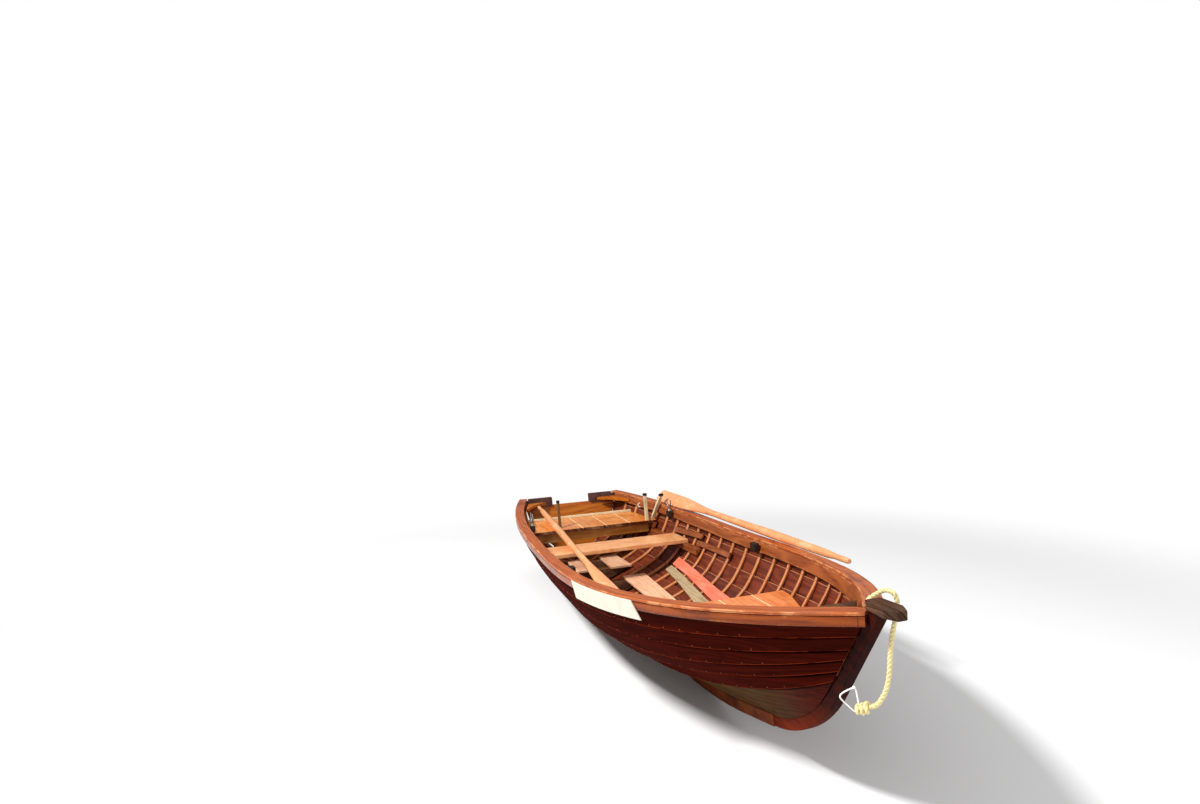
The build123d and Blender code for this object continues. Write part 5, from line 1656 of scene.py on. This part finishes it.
@dataclass(frozen=True)
class Painter:
    """The painter: its route, the knot at its end and the wire snap in it. Metres.

    Attributes:
        diameter: Diameter of the rope.
        foot: Where the rope comes up between the caps.
    """

    diameter: float = 0.018
    foot: tuple[float, float, float] = (2.062, 0.010, 0.8589223)

    # Forward, to port and up from the foot, in millimetres
    RUN = ((0, 0, 0), (-4, 0, 20), (5, 17, 36), (24, 27, 52), (52, 32, 73), (82, 42, 71), (92, 51, 46),
           (85, 48, -11), (70, 38, -91), (67, 32, -151), (67, 28, -201), (64, 22, -248), (57, 12, -287),
           (46, -1, -317), (37, -11, -334), (24, -23, -341))

    # The wire snap's bends, forward, to port and up from the knot, in millimetres
    SNAP = ((4, 4, 4), (0, 0, -2), (-4, -8, -8), (-10, -18, 2), (-24, -48, 34), (-27, -54, 46),
            (-24, -46, 58), (-10, -22, 74), (-4, -10, 80), (0, -6, 76), (2, -4, 62), (4, 0, 30), (4, 4, 4))
    # Number of the bend that carries the snap's ball, and radii of the wire and the ball
    BALL, WIRE, BALL_RADIUS = 8, 0.0028, 0.0062
    # Turns of the knot, their radius, and where along the rope's end they start and how far they reach
    TURNS, TURN_RADIUS, TURNS_FROM, TURNS_RUN = 2.6, 0.0135, 0.006, 0.040

    def route(self) -> list[tuple[float, float, float]]:
        """Control points of the rope's middle."""
        return [tuple(a + b * MM for a, b in zip(self.foot, row)) for row in self.RUN]

    def build(self, rope: bpy.types.Material, wire: bpy.types.Material) -> None:
        """Makes the rope, its knot and the snap.

        Args:
            rope: Finish of the rope.
            wire: Finish of the snap.
        """
        path = smooth_path(self.route(), 0.004)
        line = MeshBuilder()
        laid_rope(line, path, self.diameter, 0.05)
        cord = line.build("painter_rope", "hull", "rope", [rope], "painter", angle=80)
        run = unit(path[-1] - path[-3])
        side = unit(np.cross(run, [0.0, 0.0, 1.0]))
        up = np.cross(side, run)
        t = np.linspace(0, 1, 120)
        angle = t * 2 * np.pi * self.TURNS
        turns = path[-1] + np.outer(self.TURNS_FROM + self.TURNS_RUN * t, run) + self.TURN_RADIUS * (
            np.outer(np.cos(angle), side) + np.outer(np.sin(angle), up))
        knot = MeshBuilder()
        laid_rope(knot, resampled(turns, 0.003), self.diameter * 0.96, 0.055)
        core = path[-1] + np.outer(np.linspace(-0.004, 0.052, 16), run)
        laid_rope(knot, core, self.diameter * 0.9, 0.05)
        knotted = knot.build("painter_stopper_knot", "hull", "rope", [rope], "painter_knot", angle=80)
        middle = path[-1] + run * (self.TURNS_FROM + self.TURNS_RUN)
        points = [tuple(middle + np.array(step) * MM) for step in self.SNAP]
        snap = MeshBuilder()
        snap.tube(round_rings(smooth_path(points, 0.003), self.WIRE, 10))
        snap.tube(ball_rings(np.array(points[self.BALL]), self.BALL_RADIUS, 0.0058, 12))
        hook = snap.build("painter_snap", "hull", "galvanised", [wire], angle=60)


@dataclass(frozen=True)
class NameBoard:
    """The blank board on the outside of the starboard cap. Millimetres.

    Attributes:
        span: Shares of the sheer between which its top lies.
        slant: How far its lower edge is shifted forward, as a share.
        reach: How far outside the planking its back is.
        thickness: Its thickness.
        low: How far it hangs below the sheer.
        high: How far it stands above the sheer.
    """

    span: tuple[float, float] = (0.647, 0.787)
    slant: float = 0.0155
    reach: float = 26.0
    thickness: float = 5.0
    low: float = 78.0
    high: float = 4.0

    def build(self, hull: Hull, paint: bpy.types.Material) -> None:
        """Makes the board.

        Args:
            hull: The hull.
            paint: Its finish.
        """
        share = np.linspace(*self.span, 30)
        top, top_flat = hull.sheer(share)[:2]
        low, low_flat = hull.sheer(share + self.slant)[:2]
        corners = np.stack([low + low_flat * (self.reach + self.thickness) + [0, 0, -self.low],
                            top + top_flat * (self.reach + self.thickness) + [0, 0, self.high],
                            top + top_flat * self.reach + [0, 0, self.high],
                            low + low_flat * self.reach + [0, 0, -self.low]], 1)
        board = MeshBuilder()
        board.bar(corners, 0.0012, 0.002, -1.0)
        board.build("blank_name_board", "hull", "white_board", [paint], "name_board")


@dataclass(frozen=True)
class Rowlock:
    """A horned rowlock on its pin. Millimetres.

    Attributes:
        place: Distance from amidships, half breadth and height of its socket's top.
        pin: Diameter of the pin. Not used.
        gap: Width between the horns.
        rod: Diameter of the horns.
        height: Height of the horns' tips above the socket.
        neck: Height of the horns' lowest point above the socket.
        reach: How far the pin goes down.
    """

    place: tuple[float, float, float] = (-1150.0, 574.384, 605.917)
    pin: float = 12.0
    gap: float = 62.0
    rod: float = 10.0
    height: float = 94.0
    neck: float = 30.0
    reach: float = 50.0

    # Height above the socket and radius of the shank
    SHANK = ((-0.4, 5.9), (-0.2, 11.0), (6.0, 11.0), (8.2, 9.5), (10.0, 7.6), (18.0, 6.4), (24.0, 7.0),
             (28.0, 6.0))

    def build(self, side_name: str, side: float, metal: bpy.types.Material) -> None:
        """Makes the rowlock of one side.

        Args:
            side_name: Name of the side.
            side: One for port and minus one for starboard.
            metal: Its finish.
        """
        origin = np.array([self.place[0], side * self.place[1], self.place[2]]) * MM
        half = (self.gap + self.rod) / 2
        angle = np.linspace(np.pi, 2 * np.pi, 25)
        arc = np.stack([half * np.cos(angle), 0 * angle, self.neck + half + half * np.sin(angle)], -1)
        rise = np.linspace(self.height - 2, self.neck + half + 2, 8)
        splay = np.stack([-half + 0 * rise, 0 * rise, rise], -1)
        path = np.concatenate([splay, arc, (splay * [-1, 1, 1])[::-1]])
        s = np.linspace(-1, 1, len(path))
        radius = self.rod / 2 * (1.0 + 0.12 * np.exp(-(s / 0.2) ** 2) - 0.12 * np.abs(s))
        horns = MeshBuilder()
        horns.tube(origin + MM * round_rings(path, radius, 14))
        for end in (-1, 1):
            tip = np.array([end * half, 0.0, self.height - 2])
            horns.tube(origin + MM * ball_rings(tip, 5.9, 5.2, 14))
        levels = [(-self.reach, 5.0), (-self.reach + 1, 5.9), *self.SHANK]
        axis = np.array([[0.0, 0.0, z] for z, _ in levels])
        horns.tube(origin + MM * round_rings(axis, np.array([r for _, r in levels]), 20))
        body = f"rowlock_{side_name}"
        horns.build(f"rowlock_horns_{side_name}", body, "galvanised", [metal], body, angle=40)


class Timbers:
    """The frame's own timbers, with rounded edges and their finishes."""

    # Node, or what a pair's two nodes start with, its finish and grain, the width of its boards that lie
    # side by side, and its rounding in metres
    ROWS = (
        ("keel", Finishes.KEEL, Grain.FORE_AFT, 0.0, 0.003),
        ("stem", Finishes.STEM, Grain.FORE_AFT, 0.0, 0.005),
        ("keelson", Finishes.INSIDE, Grain.FORE_AFT, 0.0, 0.002),
        ("breasthook", Finishes.HOOK, Grain.ATHWART, 0.0, 0.003),
        ("quarter_knee", Finishes.TRANSOM, Grain.FORE_AFT, 0.0, 0.003),
        ("floor_bearers", Finishes.INSIDE, Grain.ATHWART, 0.0, 0.002),
        ("risers", Finishes.INWALE, Grain.FORE_AFT, 0.0, 0.002),
        ("stringers", Finishes.INWALE, Grain.FORE_AFT, 0.0, 0.002),
        ("transom", Finishes.TRANSOM, Grain.ATHWART, 0.0, 0.002),
        ("transom_shoulder", Finishes.SHOULDER, Grain.ATHWART, 0.0, 0.004),
        ("stern_seat", Finishes.STERN_SEAT, Grain.FORE_AFT, 0.206, 0.0025),
        ("stern_seat_ledge", Finishes.PALE, Grain.ATHWART, 0.0, 0.002),
        ("stern_seat_fore_beam", Finishes.SEAT_BEAM, Grain.ATHWART, 0.0, 0.002),
        ("stern_seat_aft_beam", Finishes.SEAT_BEAM, Grain.ATHWART, 0.0, 0.002),
        ("rowing_thwart", Finishes.THWART, Grain.ATHWART, 0.0, 0.004),
        ("bow_seat", Finishes.BOW_SEAT, Grain.FORE_AFT, 0.2, 0.0025),
        ("bow_seat_beam", Finishes.SEAT_BEAM, Grain.ATHWART, 0.0, 0.002),
        ("floorboards_aft", Finishes.FLOOR, Grain.FORE_AFT, 0.134, 0.002),
        ("floorboards_fore", Finishes.FLOOR, Grain.FORE_AFT, 0.134, 0.002),
        ("side_plank_bare", Finishes.BARE, Grain.FORE_AFT, 0.0, 0.002),
        ("side_plank_painted", Finishes.RED, Grain.FORE_AFT, 0.0, 0.002),
    )

    @staticmethod
    def round_edges(node: bpy.types.Object, radius: float) -> None:
        """Adds rounded edges to a node of the frame.

        Args:
            node: The node.
            radius: Rounding in metres.
        """
        weld = node.modifiers.new("weld", "WELD")
        weld.merge_threshold = 1e-5
        bevel = node.modifiers.new("rounding", "BEVEL")
        bevel.width = radius
        bevel.segments = 3
        bevel.limit_method = "ANGLE"
        bevel.angle_limit = math.radians(30)
        bevel.miter_outer = "MITER_ARC"
        normals = node.modifiers.new("normals", "WEIGHTED_NORMAL")
        normals.keep_sharp = False

    @classmethod
    def give(cls, name: str, material: bpy.types.Material, radius: float) -> None:
        """Gives one node its finish and rounded edges.

        Args:
            name: Name of the node.
            material: Its finish.
            radius: Rounding in metres.
        """
        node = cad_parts[name]
        node.data.materials.clear()
        node.data.materials.append(material)
        cls.round_edges(node, radius)
        LOG.info("%s: %s", name, material.name)

    @classmethod
    def dress(cls, iron: bpy.types.Material) -> None:
        """Gives every remaining node its finish and rounded edges.

        Args:
            iron: Finish of the rowlock sockets.
        """
        made = {}
        for name, finish, grain, board, radius in cls.ROWS:
            key = (finish.name, grain, board)
            if key not in made:
                made[key] = finish.material(grain, board)
            pair = [f"{name}_{side_name}" for side_name, _ in SIDES]
            for node in [name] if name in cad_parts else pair:
                cls.give(node, made[key], radius)
        for place in ("aft", "fore"):
            for side_name, _ in SIDES:
                cls.give(f"rowlock_socket_{place}_{side_name}", iron, 0.0015)


# Studio


@dataclass(frozen=True)
class Studio:
    """Camera, floor and light. The camera looks as the photograph does.

    Attributes:
        position: Place of the camera in metres.
        right: Direction to the picture's right.
        forward: Direction of view.
        lens: Focal length in millimetres on a sensor 36 mm wide.
        ambient: Brightness of the light from all round.
        reflected: Brightness of the surroundings in reflections.
        floor_half: Half width of the floor.
        fade: Distances from amidships between which the floor turns white.
    """

    position: tuple[float, float, float] = (4.069, -1.525, 1.690)
    right: tuple[float, float, float] = (0.2859, 0.9569, -0.0513)
    forward: tuple[float, float, float] = (-0.9582, 0.2848, -0.0277)
    lens: float = 20.4
    ambient: float = 0.56
    reflected: float = 0.3
    floor_half: float = 40.0
    fade: tuple[float, float] = (3.0, 5.2)

    # Name, place in metres, width in metres, power in watts
    LAMPS = (("key", (0.9, -4.6, 5.9), 1.1, 700.0), ("fill", (5.5, 2.5, 3.5), 4.0, 90.0))

    def camera(self) -> None:
        """Makes the camera."""
        forward, right = Vector(self.forward).normalized(), Vector(self.right)
        right = (right - forward * right.dot(forward)).normalized()
        up = right.cross(forward)
        data = bpy.data.cameras.new("camera")
        data.lens, data.sensor_width, data.sensor_fit = self.lens, 36.0, "HORIZONTAL"
        data.clip_start, data.clip_end = 0.05, 100.0
        eye = bpy.data.objects.new("camera", data)
        bpy.context.scene.collection.objects.link(eye)
        turn = Matrix((right, up, -forward)).transposed().to_4x4()
        eye.matrix_world = Matrix.Translation(self.position) @ turn
        bpy.context.scene.camera = eye

    def floor(self) -> None:
        """Makes a plain pale floor that keeps the shadow near the boat and is white further away."""
        g = Graph("studio floor")
        g.finish((0.82, 0.82, 0.82, 1.0), 0.95)
        x, y, _ = g.place()
        away = ((x * x + y * y) ** 0.5).between(*self.fade)
        seen = away * g.node("LightPath", None, None, "Is Camera Ray")
        white = g.node("Emission", None, {"Color": (1.0, 1.0, 1.0, 1.0), "Strength": 1.0})
        lit = Signal(g, g.shader.outputs[0])
        mixed = g.node("MixShader", None, {0: seen, 1: lit, 2: white})
        g.tree.links.new(mixed.socket, g.tree.nodes["Material Output"].inputs[0])
        half = self.floor_half
        mesh = bpy.data.meshes.new("studio floor")
        corners = [(-half, -half, 0), (half, -half, 0), (half, half, 0), (-half, half, 0)]
        mesh.from_pydata(corners, [], [(0, 1, 2, 3)])
        mesh.materials.append(g.material)
        floor = bpy.data.objects.new("studio floor", mesh)
        bpy.context.scene.collection.objects.link(floor)
        floor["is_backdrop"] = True

    def world(self) -> None:
        """White background for the camera, a dim one for reflections and soft pale light for all else."""
        world = bpy.data.worlds.new("studio")
        bpy.context.scene.world = world
        world.use_nodes = True
        tree = world.node_tree
        path = tree.nodes.new("ShaderNodeLightPath")
        last = tree.nodes["Background"]
        last.inputs[0].default_value = (1.0, 1.0, 1.0, 1.0)
        last.inputs[1].default_value = self.ambient
        result = last.outputs[0]
        for ray, strength in (("Is Glossy Ray", self.reflected), ("Is Camera Ray", 1.0)):
            shade = tree.nodes.new("ShaderNodeBackground")
            shade.inputs[0].default_value = (1.0, 1.0, 1.0, 1.0)
            shade.inputs[1].default_value = strength
            mix = tree.nodes.new("ShaderNodeMixShader")
            tree.links.new(path.outputs[ray], mix.inputs[0])
            tree.links.new(result, mix.inputs[1])
            tree.links.new(shade.outputs[0], mix.inputs[2])
            result = mix.outputs[0]
        tree.links.new(result, tree.nodes["World Output"].inputs[0])

    @staticmethod
    def lamp(name: str, place: tuple[float, float, float], size: float, power: float) -> None:
        """Makes a soft lamp that points at the boat's middle.

        Args:
            name: Name of the lamp.
            place: Where it stands.
            size: Width of the lamp in metres.
            power: Its power in watts.
        """
        data = bpy.data.lights.new(name, "AREA")
        data.shape, data.size, data.energy = "DISK", size, power
        lamp = bpy.data.objects.new(name, data)
        bpy.context.scene.collection.objects.link(lamp)
        lamp.location = place
        lamp.rotation_euler = (Vector((0, 0, 0.4)) - Vector(place)).to_track_quat("-Z", "Y").to_euler()

    def build(self) -> None:
        """Makes the whole studio."""
        self.camera()
        self.floor()
        self.world()
        for row in self.LAMPS:
            self.lamp(*row)
        bpy.context.scene.view_settings.view_transform = "Standard"


def write_size(when: str, sizes: dict) -> None:
    """Notes the shown object's corners."""
    low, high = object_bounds()
    sizes[when] = [list(low), list(high)]


def main() -> None:
    """Builds the studio and every piece."""
    logging.basicConfig(level=logging.INFO)
    sizes: dict = {}
    write_size("cad", sizes)
    Studio().build()
    rope = Finishes.fibre("laid rope", "#f6eab4", "#b89c58")
    galvanised = Finishes.metal("galvanised metal", "#a8a8a4", "#5c5a54", 0.42)
    iron = Finishes.metal("dark iron", "#4a423c", "#2a1e18", 0.5)
    copper = Finishes.metal("copper", "#8a5230", "#42220f", 0.5)
    wire = Finishes.painted("white wire", "#f4f2ec", "#a8a49a", 0.35)
    black = Finishes.painted("black caps", "#201814", "#4a3c30", 0.6)
    white = Finishes.painted("white board", "#c4c0b2", "#948c78", 0.6)
    cream = Finishes.painted("pale seam", "#f2d2a4", "#c08c54", 0.5)
    Painter().build(rope, wire)
    hull = Hull(HullForm())
    skins = [wood.material() for wood in (Finishes.PLANK, Finishes.GARBOARD, Finishes.PLANK_INSIDE)]
    rib = Finishes.RIB.material()
    rails = {"outwale": Finishes.OUTWALE.material(), "inwale": Finishes.INWALE.material(),
             "gunwale": Finishes.GUNWALE.material()}
    for side_name, side in SIDES:
        Planking().build(hull, side_name, side, *skins)
        Ribs().build(hull, side_name, side, rib)
        Rails().build(hull, side_name, side, rails)
        Rowlock().build(side_name, side, galvanised)
    Timbers.dress(iron)
    oar = Finishes.OAR.material()
    for name, place in stowed_oars().items():
        Oar().build(name, place, oar)
    NameBoard().build(hull, white)
    Fastenings().build(hull, Ribs(), copper)
    Seams().build(hull, cream)
    Posts().build(Finishes.PALE.material(), Finishes.STAKE.material(), black)
    Eye().build(white, black)
    write_size("shown", sizes)


if __name__ == "__main__":
    main()
